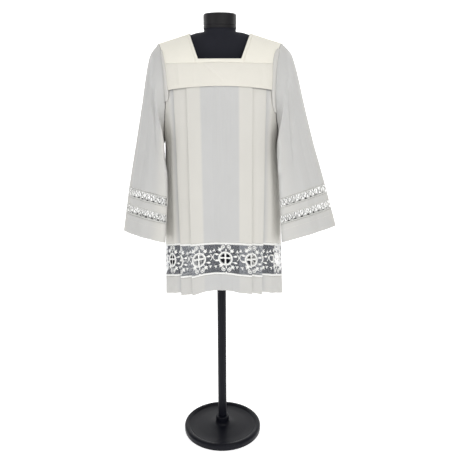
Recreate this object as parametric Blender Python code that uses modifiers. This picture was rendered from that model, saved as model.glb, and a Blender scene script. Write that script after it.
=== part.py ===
"""Surplice hanging on a limbless dress form.

The surplice is a hollow garment of thin cloth walls: a square yoke, two shoulder
pieces, a neck facing, pleated front and back, an inserted lace band above each hem,
and two wide sleeves with two ladder-lace insertions each.  The form is a smooth
torso with a neck cap on a pole and a round base.

Metres, +Z up, front towards -Y, origin at the centre of the base's underside.
"""
import math

import bmesh
import bpy
import numpy as np
from mathutils import Vector
from mathutils.geometry import delaunay_2d_cdt

# ---------------------------------------------------------------- driving sizes
WALL = 0.0013            # thickness of one layer of cloth
FACING_WALL = 0.0017     # folded strip round the neck
SEAM = 0.0003            # gap between two pieces that are sewn together
HALF_SEAM = SEAM / 2

YOKE_SEAM_Z = 1.419      # lower edge of the yoke at the centre
UNDERARM_DOWN = 0.165    # distances down the cloth from the yoke seam
LACE_TOP_DOWN = 0.550
LACE_END_DOWN = 0.670
HEM_DOWN = 0.732
HEM_SWAY = 0.011         # the hem hangs this far to the right of the neck

SHOULDER_TIP_X = 0.220   # top end of the armhole seam
SHOULDER_SLOPE = 0.3125
SHOULDER_CROWN = 0.04    # rounds the two slopes into each other
SHOULDER_TOP = 1.6294
YOKE_RISE = 0.387        # height of the yoke-to-shoulder seam, as a sine up the yoke
YOKE_RISE_END = 0.185    # how much higher that sine is at the armhole
YOKE_BEND = 0.17         # cloth length for each radian up the yoke
SEAM_TURN = HALF_SEAM / YOKE_BEND

NECK_X = 0.0730          # half width of the square neck at its level lower edge
NECK_Z = 1.506
NECK_SPREAD = 0.375      # the neck widens by this much for each metre up
NECK_SIDE_T = 0.4        # about how far across its side edges are
NECK_SOLVE_STEPS = 30
FACING_WIDTH = 0.0100

LAYER_TOP = 0.0022       # spacing of the layers of a pleat at the yoke
LAYER_HEM = 0.0040       # and at the hem
PLEAT_LAYERS = 4
PLEAT_TURNS = (3, 4, 5, 6, 9, 10, 12, 13)  # stations where the pleated cloth turns back
SIDE_STATIONS = 5        # stations from the outer fold to the side

MEDALLION_PITCH = 0.098  # flat repeat of the hem lace
MEDALLION_SHIFT = 0.0075
MEDALLION_HOLE = ((0.005, 0.005), (0.018, 0.005), (0.0135, 0.0135), (0.005, 0.018))
MEDALLION_REACH = 0.0236  # holes are cut only where every fold is this far away or more

LACE_REPEATS = 10        # repeats of the ladder lace on half a sleeve
LADDER_PITCH = 0.0275    # repeat of the ladder lace
LADDER_EDGE = 0.0048     # from its edge to its gaps
LADDER_BORDER = 0.0028   # its woven border
LADDER_TRIANGLE = 0.0066
LADDER_TRIANGLE_DEPTH = 0.0082
LADDER_OVAL = 0.0046
LADDER_OVAL_HEIGHT = 0.0078
SLEEVE_COLUMNS = 2 * LACE_REPEATS

SLEEVE_START = 0.0006    # gap of the sleeve from the armhole at the shoulder
SLEEVE_UNDERARM = 0.0013  # and what is added to it under the arm
SLEEVE_SQUARENESS = 2.25
UPPER_GAP = 0.0008       # the upper sleeve ends this far above the lace
FOLD_ANGLE = 1.25        # the fold at the armhole, in radians from the outer line
FOLD_SPREAD = 0.35
ARMHOLE_DOWNS = (0.02, 0.05, 0.08, 0.10, 0.12, 0.14, 0.155, UNDERARM_DOWN)
ARMHOLE_STEPS = 9        # points of the armhole on half the yoke

FORM_CLEARANCE = 0.0010  # from the cloth's middle down to the form on the shoulders
NECK_RADIUS = 0.058
CAP_FOOT_Z = 1.6105
FORM_TOP_Z = 1.660
TORSO_FOOT_Z = 0.680
POLE_RADIUS = 0.0175
BASE_RADIUS = 0.160
SOCKET_TOP_Z = 0.062

# ---------------------------------------------------------------- short tables
SECTION_COLUMNS = ("down", "half_width", "depth", "squareness", "edge_y", "side_drop")
BODY_SECTIONS = (
    (0.000, 0.2150, 0.1400, 2.85, 0.0914, 0.038),
    (0.050, 0.2130, 0.1410, 2.78, 0.0850, 0.039),
    (0.100, 0.2110, 0.1420, 2.70, 0.0680, 0.040),
    (0.140, 0.2095, 0.1430, 2.62, 0.0400, 0.041),
    (0.165, 0.2090, 0.1435, 2.60, 0.0000, 0.041),
    (0.280, 0.2150, 0.1470, 2.50, 0.0000, 0.044),
    (0.420, 0.2215, 0.1500, 2.45, 0.0000, 0.048),
    (0.550, 0.2255, 0.1510, 2.40, 0.0000, 0.050),
    (0.670, 0.2300, 0.1540, 2.36, 0.0000, 0.055),
    (0.732, 0.2330, 0.1560, 2.35, 0.0000, 0.062),
)
PANEL_ROWS = (HALF_SEAM, 0.05, 0.10, 0.14, UNDERARM_DOWN, 0.28, 0.42,
              LACE_TOP_DOWN - HALF_SEAM)
HEM_ROWS = (LACE_END_DOWN + SEAM, 0.70, HEM_DOWN)

PLEAT_COLUMNS = ("down", "inner_under", "inner_fold", "outer_fold", "back_fold",
                 "under_sag", "inner_sag", "outer_sag", "side_sag")
PLEATS_RIGHT = (
    (0.000, 0.0650, 0.1130, 0.1640, 0.0805, 0.000, 0.000, 0.000, 0.000),
    (0.550, 0.0590, 0.1060, 0.1520, 0.0735, 0.001, 0.003, 0.003, 0.000),
    (0.732, 0.0580, 0.1050, 0.1465, 0.0725, 0.010, 0.014, 0.017, 0.010),
)
PLEATS_LEFT = (
    (0.000, 0.0670, 0.1150, 0.1640, 0.0900, 0.000, 0.000, 0.000, 0.000),
    (0.550, 0.0700, 0.1190, 0.1640, 0.0945, 0.001, 0.004, 0.003, 0.000),
    (0.732, 0.0710, 0.1190, 0.1680, 0.0945, 0.005, 0.019, 0.020, 0.010),
)

SLEEVE_COLUMN_NAMES = ("outer_x", "outer_z", "inner_x", "inner_z",
                       "half_depth", "centre_y", "lean", "fold", "front_rise")
SLEEVE_RIGHT = (
    (0.2360, 1.5480, 0.2150, 1.2000, 0.0960, -0.005, 0.35, 0.006, 0.000),
    (0.2600, 1.5260, 0.2085, 1.1720, 0.0990, -0.014, 0.80, 0.010, 0.001),
    (0.2757, 1.4860, 0.2050, 1.1500, 0.0980, -0.024, 1.00, 0.008, 0.002),
    (0.2925, 1.4280, 0.2045, 1.1250, 0.0960, -0.025, 1.00, 0.004, 0.004),
    (0.3142, 1.3440, 0.2082, 1.0950, 0.0930, -0.022, 0.95, 0.000, 0.007),
    (0.3484, 1.2212, 0.2107, 1.0550, 0.0880, -0.028, 1.00, 0.000, 0.011),
    (0.3776, 1.1300, 0.2128, 1.0220, 0.0798, -0.0337, 1.00, 0.000, 0.017),
    (0.3976, 1.0650, 0.2140, 1.0042, 0.0790, -0.034, 1.00, 0.000, 0.017),
    (0.4462, 0.8994, 0.2255, 0.8389, 0.0720, -0.038, 1.00, 0.000, 0.017),
)
SLEEVE_LEFT = (
    (0.2340, 1.5470, 0.2135, 1.2000, 0.0960, -0.005, 0.35, 0.006, 0.000),
    (0.2550, 1.5260, 0.2035, 1.1720, 0.0990, -0.014, 0.80, 0.010, 0.001),
    (0.2666, 1.4920, 0.1965, 1.1500, 0.1000, -0.024, 1.00, 0.008, 0.002),
    (0.2779, 1.4400, 0.1925, 1.1250, 0.1000, -0.026, 1.00, 0.004, 0.004),
    (0.2920, 1.3640, 0.1904, 1.1000, 0.0990, -0.022, 0.95, 0.000, 0.007),
    (0.3165, 1.2400, 0.1902, 1.0630, 0.0970, -0.028, 1.00, 0.000, 0.012),
    (0.3380, 1.1350, 0.1905, 1.0300, 0.0950, -0.032, 1.00, 0.000, 0.016),
    (0.3546, 1.0544, 0.1901, 1.0119, 0.0940, -0.034, 1.00, 0.000, 0.020),
    (0.3835, 0.8806, 0.2048, 0.8419, 0.0920, -0.038, 1.00, 0.000, 0.020),
)
LACE_ROW = 7             # row of the sleeve tables where the upper lace starts
CUFF_ROW = 8
BAND_COLUMNS = ("name", "start", "end")
SLEEVE_BANDS = (         # distances down from the upper lace's top edge
    ("lace_upper", 0.000, 0.036),
    ("middle", 0.036, 0.062),
    ("lace_lower", 0.062, 0.098),
    ("cuff", 0.098, 0.169),
)
CUFF_LENGTH = 0.169

TORSO_COLUMNS = ("side_z", "front_z", "half_width", "half_depth")
TORSO_RINGS = (
    (0.680, 0.680, 0.199, 0.117),
    (0.692, 0.692, 0.207, 0.124),
    (0.860, 0.860, 0.208, 0.125),
    (0.980, 0.980, 0.192, 0.119),
    (1.100, 1.100, 0.165, 0.108),
    (1.220, 1.210, 0.162, 0.108),
    (1.320, 1.290, 0.178, 0.116),
    (1.410, 1.350, 0.188, 0.119),
    (1.480, 1.400, 0.195, 0.117),
    (1.528, 1.440, 0.198, 0.108),
)
SHOULDER_RING_COLUMNS = ("half_width", "half_depth", "front_z")
SHOULDER_RINGS = (       # their side heights follow the shoulder line of the cloth
    (0.186, 0.098, 1.480),
    (0.160, 0.087, 1.516),
    (0.130, 0.076, 1.543),
    (0.106, 0.068, 1.561),
    (0.080, 0.062, 1.576),
)
NECK_RINGS_Z = (1.600, CAP_FOOT_Z - SEAM)
FORM_COLUMNS = 24

COLOURS = {              # base colour, roughness, metallic
    "ivory_cloth": ((0.84, 0.82, 0.77, 1.0), 0.85, 0.0),
    "white_lace": ((0.90, 0.89, 0.87, 1.0), 0.80, 0.0),
    "black_jersey": ((0.014, 0.014, 0.018, 1.0), 0.90, 0.0),
    "black_cap": ((0.020, 0.019, 0.019, 1.0), 0.45, 0.0),
    "black_metal": ((0.012, 0.013, 0.018, 1.0), 0.35, 0.6),
}


# ---------------------------------------------------------------- small helpers
def read(table, columns, key_name, key, name):
    """Value of one named column where another column equals key."""
    keys = [row[columns.index(key_name)] for row in table]
    values = [row[columns.index(name)] for row in table]
    return float(np.interp(key, keys, values))


def clear_scene():
    for item in list(bpy.data.objects):
        bpy.data.objects.remove(item, do_unlink=True)


def make_material(name):
    colour, roughness, metallic = COLOURS[name]
    material = bpy.data.materials.new(name)
    material.use_nodes = True
    shader = material.node_tree.nodes["Principled BSDF"]
    shader.inputs["Base Color"].default_value = colour
    shader.inputs["Roughness"].default_value = roughness
    shader.inputs["Metallic"].default_value = metallic
    return material


def add_object(name, mesh, material, collection):
    item = bpy.data.objects.new(name, mesh)
    mesh.materials.append(material)
    mesh.shade_smooth()
    mesh.set_sharp_from_angle(angle=math.radians(40))
    collection.objects.link(item)
    return item


def thicken(item, wall):
    """Give an open surface its wall, half on each side."""
    shell = item.modifiers.new("wall", "SOLIDIFY")
    shell.thickness = wall
    shell.offset = 0.0
    shell.use_even_offset = True
    shell.use_quality_normals = True
    return item


def grid_mesh(name, rows, wrap=False):
    """Open surface through a grid of points; wrap joins the last column to the first."""
    points = [tuple(point) for row in rows for point in row]
    width = len(rows[0])
    spans = width if wrap else width - 1
    faces = []
    for r in range(len(rows) - 1):
        for c in range(spans):
            right = (c + 1) % width
            faces.append((r * width + c, (r + 1) * width + c,
                          (r + 1) * width + right, r * width + right))
    mesh = bpy.data.meshes.new(name)
    mesh.from_pydata(points, [], faces)
    return mesh


# ---------------------------------------------------------------- the body's outline
def section(down, name):
    return read(BODY_SECTIONS, SECTION_COLUMNS, "down", down, name)


def quarter_outline(down):
    """A quarter of the body's plan at one level: x, y and length from the centre."""
    angle = np.linspace(0.0, math.pi / 2, 241)
    power = 2.0 / section(down, "squareness")
    x = section(down, "half_width") * np.sin(angle) ** power
    y = section(down, "depth") * np.abs(np.cos(angle)) ** power
    length = np.concatenate(([0.0], np.cumsum(np.hypot(np.diff(x), np.diff(y)))))
    return x, y, length


def outline_reach(down):
    """Length from the centre to the armhole or the side seam."""
    _, y, length = quarter_outline(down)
    edge_y = max(section(down, "edge_y"), HALF_SEAM)
    return float(np.interp(-edge_y, -y, length))


def outline_place(down, s, offset):
    """Plan position at length s, moved outwards by offset."""
    x, y, length = quarter_outline(down)
    step = 0.002
    ahead = min(s + step, length[-1])
    behind = max(s - step, 0.0)
    run_x = np.interp(ahead, length, x) - np.interp(behind, length, x)
    run_y = np.interp(ahead, length, y) - np.interp(behind, length, y)
    run = math.hypot(run_x, run_y)
    place_x = float(np.interp(s, length, x)) - run_y / run * offset
    place_y = float(np.interp(s, length, y)) + run_x / run * offset
    return place_x, max(place_y, HALF_SEAM)


def drop(down, s):
    """How much lower than at the centre the cloth hangs at length s."""
    return section(down, "side_drop") * (s / quarter_outline(down)[2][-1]) ** 2


# ---------------------------------------------------------------- pleated front and back
def pleat_stations(table, down):
    """Half of the pleated path: (length, layer, sag) from the centre to the side."""
    x, _, length = quarter_outline(down)

    def reach(name):
        return float(np.interp(read(table, PLEAT_COLUMNS, "down", down, name), x, length))

    under = reach("inner_under")
    inner = reach("inner_fold")
    outer = reach("outer_fold")
    back = reach("back_fold")
    edge = outline_reach(down)

    def sag(name):
        return read(table, PLEAT_COLUMNS, "down", down, name)

    under_sag, inner_sag, outer_sag, side_sag = map(sag, PLEAT_COLUMNS[5:])
    path = [
        (0.0, 4, 0.0), (under / 2, 4, under_sag / 3), (under, 4, under_sag),
        (inner, 4, inner_sag), (inner, 3, inner_sag), (under, 3, under_sag),
        (under, 2, under_sag), (inner, 2, inner_sag * 0.8),
        ((inner + outer) / 2, 2, (inner_sag + outer_sag) * 0.45), (outer, 2, outer_sag),
        (outer, 1, outer_sag), ((back + outer) / 2, 1, outer_sag / 2), (back, 1, 0.0),
        (back, 0, 0.0), ((back + outer) / 2, 0, side_sag / 2), (outer, 0, side_sag),
    ]
    for i in range(1, SIDE_STATIONS + 1):
        part = i / SIDE_STATIONS
        path.append((outer + (edge - outer) * part, PLEAT_LAYERS * part, side_sag))
    return path


def layer_spacing(down):
    return LAYER_TOP + (LAYER_HEM - LAYER_TOP) * down / HEM_DOWN


def flat_lengths(table, down):
    """Flat length of the pleated path at each of its stations."""
    path = pleat_stations(table, down)
    gap = layer_spacing(down)
    lengths = [0.0]
    for before, after in zip(path, path[1:]):
        run = math.hypot(after[0] - before[0], (after[1] - before[1]) * gap)
        lengths.append(lengths[-1] + run)
    return lengths


def station_place(table, down, station, side, face):
    """Point on the pleated cloth at a station number, which may be a fraction."""
    path = np.array(pleat_stations(table, down))
    numbers = np.arange(len(path))
    s = float(np.interp(station, numbers, path[:, 0]))
    layer = float(np.interp(station, numbers, path[:, 1]))
    sag = float(np.interp(station, numbers, path[:, 2]))
    inset = WALL + SEAM + (PLEAT_LAYERS - layer) * layer_spacing(down)
    x, y = outline_place(down, s, -inset)
    z = YOKE_SEAM_Z - down - drop(down, s) - sag
    return Vector((side * x + HEM_SWAY * down / HEM_DOWN, face * y, z))


def panel_columns(face):
    """Station numbers and sides across a whole panel, seen from outside."""
    count = len(pleat_stations(PLEATS_RIGHT, 0.0))
    left = [(PLEATS_LEFT, number, -1) for number in range(count - 1, 0, -1)]
    right = [(PLEATS_RIGHT, number, 1) for number in range(count)]
    columns = left + right
    return columns if face < 0 else columns[::-1]


def pleated_rows(downs, face):
    rows = []
    for down in downs:
        rows.append([station_place(table, down, number, side, face)
                     for table, number, side in panel_columns(face)])
    return rows


def cut_sheet(name, outline, lines, holes, place):
    """Triangulated flat outline with holes, laid on the surface that place gives."""
    points = [Vector(point) for point in outline]
    edges = [(i, (i + 1) % len(outline)) for i in range(len(outline))]
    for line in lines:
        first = len(points)
        points += [Vector(point) for point in line]
        edges += [(first + i, first + i + 1) for i in range(len(line) - 1)]
    faces_in = [tuple(range(len(outline)))]
    for hole in holes:
        first = len(points)
        points += [Vector(point) for point in hole]
        edges += [(first + i, first + (i + 1) % len(hole)) for i in range(len(hole))]
        faces_in.append(tuple(range(first, first + len(hole))))
    verts, _, faces, _, _, sources = delaunay_2d_cdt(points, edges, faces_in, 1, 1e-7)
    kept = [face for face, source in zip(faces, sources) if list(source) == [0]]
    mesh = bpy.data.meshes.new(name)
    mesh.from_pydata([tuple(place(point.x, point.y)) for point in verts], [], kept)
    tidy = bmesh.new()
    tidy.from_mesh(mesh)
    loose = [vert for vert in tidy.verts if not vert.link_faces]
    bmesh.ops.delete(tidy, geom=loose, context="VERTS")
    tidy.to_mesh(mesh)
    tidy.free()
    return mesh


def medallion_holes(folds, low, high):
    """Four open quarters round a plain cross, for each medallion clear of the folds."""
    middle = (low + high) / 2
    holes = []
    count = int(folds[-1] / MEDALLION_PITCH) + 1
    for number in range(-count, count + 1):
        centre = MEDALLION_SHIFT + number * MEDALLION_PITCH
        near = min(abs(centre - fold) for fold in folds)
        if near < MEDALLION_REACH:
            continue
        for sign_x in (-1, 1):
            for sign_y in (-1, 1):
                hole = [(centre + sign_x * x, middle + sign_y * y) for x, y in MEDALLION_HOLE]
                holes.append(hole if sign_x * sign_y > 0 else hole[::-1])
    return holes


def hem_lace(name, face):
    """The inserted lace band: flat outline cut in the cloth's own lengths."""
    middle_down = (LACE_TOP_DOWN + LACE_END_DOWN) / 2
    right = flat_lengths(PLEATS_RIGHT, middle_down)
    left = flat_lengths(PLEATS_LEFT, middle_down)
    numbers = range(len(right))
    flat = [-value for value in left[:0:-1]] + right
    low = LACE_TOP_DOWN + HALF_SEAM
    high = LACE_END_DOWN - HALF_SEAM

    def place(u, down):
        table, lengths, side = (PLEATS_RIGHT, right, 1) if u >= 0 else (PLEATS_LEFT, left, -1)
        station = float(np.interp(abs(u), lengths, numbers))
        return station_place(table, down, station, side, face)

    outline = [(u, low) for u in flat] + [(u, high) for u in reversed(flat)]
    folds = [right[i] for i in PLEAT_TURNS] + [-left[i] for i in PLEAT_TURNS]
    lines = [[(u, low), (u, high)] for u in folds]
    holes = medallion_holes(sorted(folds + [flat[0], flat[-1]]), low, high)
    mesh = cut_sheet(name, outline, lines, holes, place)
    if face < 0:
        mesh.flip_normals()
    return mesh


# ---------------------------------------------------------------- yoke and shoulders
def shoulder_height(x):
    return SHOULDER_TOP - SHOULDER_SLOPE * math.hypot(x, SHOULDER_CROWN)


def yoke_point(t, angle, face):
    """t runs from -1 to 1 across; angle from 0 at the seam to 90 degrees on the shoulder."""
    side = -1 if t < 0 else 1
    s = abs(t) * outline_reach(0.0)
    low_x, low_y = outline_place(0.0, s, 0.0)
    top_x = abs(t) * SHOULDER_TIP_X
    x = low_x + (top_x - low_x) * (1.0 - math.cos(angle))
    low_z = YOKE_SEAM_Z - drop(0.0, s)
    z = low_z + (shoulder_height(top_x) - low_z) * math.sin(angle)
    return Vector((side * x, face * low_y * math.cos(angle), z))


def seam_angle(t):
    """Angle of the seam between the yoke and the shoulder pieces."""
    return math.asin(YOKE_RISE + YOKE_RISE_END * t * t)


def neck_edge(angle, face):
    """t of the neck's side edge at an angle up the yoke."""
    t = NECK_SIDE_T
    for _ in range(NECK_SOLVE_STEPS):
        point = yoke_point(t, angle, face)
        wanted = NECK_X + NECK_SPREAD * (point.z - NECK_Z)
        t *= wanted / point.x
    return t


def neck_angle(t):
    """Angle of the neck's level lower edge."""
    low_z = yoke_point(t, 0.0, -1).z
    top_z = yoke_point(t, math.pi / 2, -1).z
    return math.asin((NECK_Z - low_z) / (top_z - low_z))


def neck_corner():
    """t of the neck's lower corners."""
    t = NECK_SIDE_T
    for _ in range(NECK_SOLVE_STEPS):
        t = neck_edge(neck_angle(t), -1)
    return t


def yoke_band(face):
    """Straight band between the pleats and the shoulder pieces."""
    half = 9
    rise = 3
    across = [math.sin(math.pi / 2 * i / half) for i in range(-half, half + 1)]
    across = across if face < 0 else across[::-1]
    rows = []
    for r in range(rise, -1, -1):
        part = r / rise
        rows.append([yoke_point(t, SEAM_TURN + (seam_angle(t) - 2 * SEAM_TURN) * part, face)
                     for t in across])
    return rows


def half_turn(part, t):
    """Angle over the shoulder for part 0 (front seam) to 1 (back seam)."""
    start = seam_angle(t) + SEAM_TURN
    return start + (math.pi - 2 * start) * part


def over_shoulder(t, angle):
    """Yoke surface with angles from the front seam over the shoulder to the back."""
    if angle <= math.pi / 2:
        return yoke_point(t, angle, -1)
    return yoke_point(t, math.pi - angle, 1)


def neck_t(angle):
    folded = min(angle, math.pi - angle)
    return neck_edge(max(folded, neck_angle(neck_corner())), -1)


def shoulder_piece(side):
    across = 5
    along = 12
    facing = (FACING_WIDTH + HALF_SEAM) / SHOULDER_TIP_X
    rows = []
    for r in range(along + 1):
        row = []
        for c in range(across + 1):
            inner = neck_t(half_turn(r / along, NECK_SIDE_T)) + facing
            t = inner + (1.0 - inner) * c / across
            row.append(over_shoulder(side * t, half_turn(r / along, t)))
        rows.append(row)
    return rows if side < 0 else rows[::-1]


def neck_facing():
    """Mitred strip round the square neck, as pairs of inner and outer points."""
    corner = neck_corner()
    low = neck_angle(corner)
    across = 4
    along = 12
    width = (FACING_WIDTH - HALF_SEAM) / SHOULDER_TIP_X
    inner_row, outer_row = [], []

    def add_front(face, direction):
        for i in range(-across, across + 1):
            part = direction * i / across
            inner_row.append(yoke_point(part * corner, neck_angle(part * corner), face))
            t = part * (corner + width)
            outer_row.append(yoke_point(t, seam_angle(t) + SEAM_TURN, face))

    def add_side(side, forwards):
        for i in range(1, along):
            part = i / along if forwards else 1 - i / along
            angle = low + (math.pi - 2 * low) * part
            inner_row.append(over_shoulder(side * neck_t(angle), angle))
            t = neck_t(half_turn(part, NECK_SIDE_T)) + width
            outer_row.append(over_shoulder(side * t, half_turn(part, t)))

    add_front(-1, 1)
    add_side(1, True)
    add_front(1, -1)
    add_side(-1, False)
    return [inner_row, outer_row]


# ---------------------------------------------------------------- sleeves
def armhole_loop(side):
    """Half of the armhole, from the shoulder tip over the front to the underarm."""
    table = PLEATS_RIGHT if side > 0 else PLEATS_LEFT
    last = len(pleat_stations(table, 0.0)) - 1
    loop = [yoke_point(side, math.pi / 2 * (1 - i / ARMHOLE_STEPS), -1)
            for i in range(ARMHOLE_STEPS + 1)]
    return loop + [station_place(table, down, last, side, -1) for down in ARMHOLE_DOWNS]


def by_length(points, count):
    """Points at equal lengths along a polyline."""
    points = np.array([tuple(point) for point in points])
    runs = np.linalg.norm(np.diff(points, axis=0), axis=1)
    length = np.concatenate(([0.0], np.cumsum(runs)))
    wanted = np.linspace(0.0, length[-1], count)
    return np.stack([np.interp(wanted, length, points[:, k]) for k in range(3)], axis=1)


def first_ring(side, columns):
    """Armhole end of the sleeve, just clear of the body."""
    half = by_length(armhole_loop(side), columns // 2 + 1)
    ring = []
    for c in range(columns):
        part = c / columns
        index = c if c <= columns // 2 else columns - c
        x, y, z = half[index]
        gap = SLEEVE_START + SLEEVE_UNDERARM * math.sin(math.pi * part) ** 0.7
        ring.append(Vector((x + side * gap, y if part <= 0.5 else -y, z)))
    return ring


def sleeve_row(side, row):
    """Named sizes of the sleeve at a row number, which may be a fraction."""
    table = np.array(SLEEVE_RIGHT if side > 0 else SLEEVE_LEFT)
    numbers = np.arange(len(table))
    return {name: float(np.interp(row, numbers, table[:, k]))
            for k, name in enumerate(SLEEVE_COLUMN_NAMES)}


def sleeve_curve(side, row):
    """One closed ring of the sleeve with its lengths, starting on the outer line."""
    sizes = sleeve_row(side, row)
    angle = np.linspace(0.0, 2 * math.pi, 361)
    power = 2.0 / SLEEVE_SQUARENESS
    turned = np.cos(angle + sizes["lean"])
    cosine = np.sign(turned) * np.abs(turned) ** power
    sine = np.sign(np.sin(angle)) * np.abs(np.sin(angle)) ** power
    centre_x = (sizes["outer_x"] + sizes["inner_x"]) / 2
    centre_z = (sizes["outer_z"] + sizes["inner_z"]) / 2
    reach_x = (sizes["outer_x"] - sizes["inner_x"]) / 2
    reach_z = (sizes["outer_z"] - sizes["inner_z"]) / 2
    bump = sizes["fold"] * np.exp(-((angle - FOLD_ANGLE) / FOLD_SPREAD) ** 2)
    points = np.stack([side * (centre_x + reach_x * cosine),
                       sizes["centre_y"] - sizes["half_depth"] * sine - bump,
                       centre_z + reach_z * cosine + sizes["front_rise"] * sine], axis=1)
    runs = np.linalg.norm(np.diff(points, axis=0), axis=1)
    length = np.concatenate(([0.0], np.cumsum(runs)))
    return points, length / length[-1]


def sleeve_place(side, row, part):
    """Point on the sleeve: part 0 is the outer line, 0.25 the front, 0.5 the inner line."""
    points, fraction = sleeve_curve(side, row)
    return Vector([float(np.interp(part % 1.0, fraction, points[:, k])) for k in range(3)])


def band_row(distance):
    """Row number of a distance down from the upper lace's top edge."""
    return LACE_ROW + (CUFF_ROW - LACE_ROW) * distance / CUFF_LENGTH


def sleeve_rings(side, row_numbers, columns):
    rings = []
    for row in row_numbers:
        rings.append([sleeve_place(side, row, c / columns) for c in range(columns)])
    return rings if side < 0 else [ring[::-1] for ring in rings]


def upper_sleeve(side):
    rows = list(range(LACE_ROW)) + [band_row(HALF_SEAM - UPPER_GAP)]
    start = first_ring(side, SLEEVE_COLUMNS)
    start = start if side < 0 else start[::-1]
    return [start] + sleeve_rings(side, rows, SLEEVE_COLUMNS)


def ladder_lace(name, side, band, back):
    """Half of a ladder-lace insertion, laid out in repeats, with its gaps cut through."""
    start = band["start"] + HALF_SEAM
    full = (band["end"] - HALF_SEAM - start) / LADDER_PITCH
    margin = HALF_SEAM / LADDER_PITCH
    edge = [margin] + list(range(1, LACE_REPEATS)) + [LACE_REPEATS - margin]
    outline = [(q, 0.0) for q in edge] + [(q, full) for q in reversed(edge)]
    border = LADDER_BORDER / LADDER_PITCH
    lines = [[(q, v) for q in edge] for v in (border, full - border)]
    wide = LADDER_TRIANGLE / LADDER_PITCH
    top = LADDER_EDGE / LADDER_PITCH
    tip = top + LADDER_TRIANGLE_DEPTH / LADDER_PITCH
    across = LADDER_OVAL / LADDER_PITCH
    tall = LADDER_OVAL_HEIGHT / LADDER_PITCH
    holes = []
    for repeat in range(LACE_REPEATS):
        cross = repeat + 0.25
        oval = repeat + 0.75
        holes.append([(cross - wide, top), (cross + wide, top), (cross, tip)])
        holes.append([(cross - wide, full - top), (cross, full - tip),
                      (cross + wide, full - top)])
        holes.append([(oval - across, full / 2), (oval, full / 2 - tall),
                      (oval + across, full / 2), (oval, full / 2 + tall)])

    def place(q, v):
        part = 0.5 * q / LACE_REPEATS + (0.5 if back else 0.0)
        return sleeve_place(side, band_row(start + v * LADDER_PITCH), part)

    mesh = cut_sheet(name, outline, lines, holes, place)
    if side > 0:
        mesh.flip_normals()
    return mesh


# ---------------------------------------------------------------- the form
def ring_points(side_z, front_z, half_width, half_depth):
    ring = []
    for c in range(FORM_COLUMNS):
        angle = 2 * math.pi * c / FORM_COLUMNS
        level = front_z + (side_z - front_z) * math.cos(angle) ** 2
        ring.append((half_width * math.cos(angle), half_depth * math.sin(angle), level))
    return ring


def torso_mesh(name):
    rings = [ring_points(**dict(zip(TORSO_COLUMNS, row))) for row in TORSO_RINGS]
    for row in SHOULDER_RINGS:
        sizes = dict(zip(SHOULDER_RING_COLUMNS, row))
        side_z = shoulder_height(sizes["half_width"]) - FORM_CLEARANCE
        rings.append(ring_points(side_z=side_z, **sizes))
    for level in NECK_RINGS_Z:
        rings.append(ring_points(level, level, NECK_RADIUS, NECK_RADIUS))
    mesh = grid_mesh(name, [ring[::-1] for ring in rings], wrap=True)
    body = bmesh.new()
    body.from_mesh(mesh)
    open_edges = [edge for edge in body.edges if edge.is_boundary]
    bmesh.ops.holes_fill(body, edges=open_edges, sides=0)
    bmesh.ops.recalc_face_normals(body, faces=body.faces)
    body.to_mesh(mesh)
    body.free()
    return mesh


def turned(name, profile, steps, material, collection):
    """Solid of revolution round the pole's axis from (radius, height) points."""
    mesh = bpy.data.meshes.new(name)
    points = [(radius, 0.0, height) for radius, height in profile]
    mesh.from_pydata(points, [(i, i + 1) for i in range(len(points) - 1)], [])
    item = bpy.data.objects.new(name, mesh)
    mesh.materials.append(material)
    collection.objects.link(item)
    spin = item.modifiers.new("turn", "SCREW")
    spin.axis = "Z"
    spin.angle = 2 * math.pi
    spin.steps = steps
    spin.render_steps = steps
    spin.use_merge_vertices = True
    spin.merge_threshold = 0.00005
    spin.use_smooth_shade = True
    return item


def arc(centre_r, centre_z, radius, start, end, steps):
    """Points of a profile's rounded corner, angles in degrees from +r."""
    return [(centre_r + radius * math.cos(math.radians(start + (end - start) * i / steps)),
             centre_z + radius * math.sin(math.radians(start + (end - start) * i / steps)))
            for i in range(steps + 1)]


def base_profile():
    """Round foot: raised rounded rim, shallow dish and a socket for the pole."""
    rim = 0.0095
    dish_z = 0.0195
    profile = [(0.0, SOCKET_TOP_Z), (0.0235, SOCKET_TOP_Z)]
    profile += [(0.0275, SOCKET_TOP_Z - 0.004), (0.0275, 0.040), (0.036, 0.028), (0.055, 0.0235)]
    profile += [(BASE_RADIUS - 2.6 * rim, dish_z), (BASE_RADIUS - 2.2 * rim, dish_z + 0.003)]
    profile += arc(BASE_RADIUS - rim, 0.018, rim, 110, 0, 3)
    profile += [(BASE_RADIUS, 0.005), (BASE_RADIUS - 0.003, 0.0), (0.0, 0.0)]
    return profile


def cap_profile():
    radius = NECK_RADIUS
    edge = 0.007
    profile = [(0.0, FORM_TOP_Z)]
    profile += arc(radius - edge, FORM_TOP_Z - edge, edge, 90, 0, 3)
    profile += [(radius, CAP_FOOT_Z), (0.0, CAP_FOOT_Z)]
    return profile


def pole_profile():
    top = TORSO_FOOT_Z - SEAM
    foot = SOCKET_TOP_Z + SEAM
    flange = 0.045
    return [(0.0, top), (flange, top), (flange, top - 0.006), (POLE_RADIUS + 0.006, top - 0.012),
            (POLE_RADIUS, top - 0.050), (POLE_RADIUS, foot), (0.0, foot)]


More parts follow.
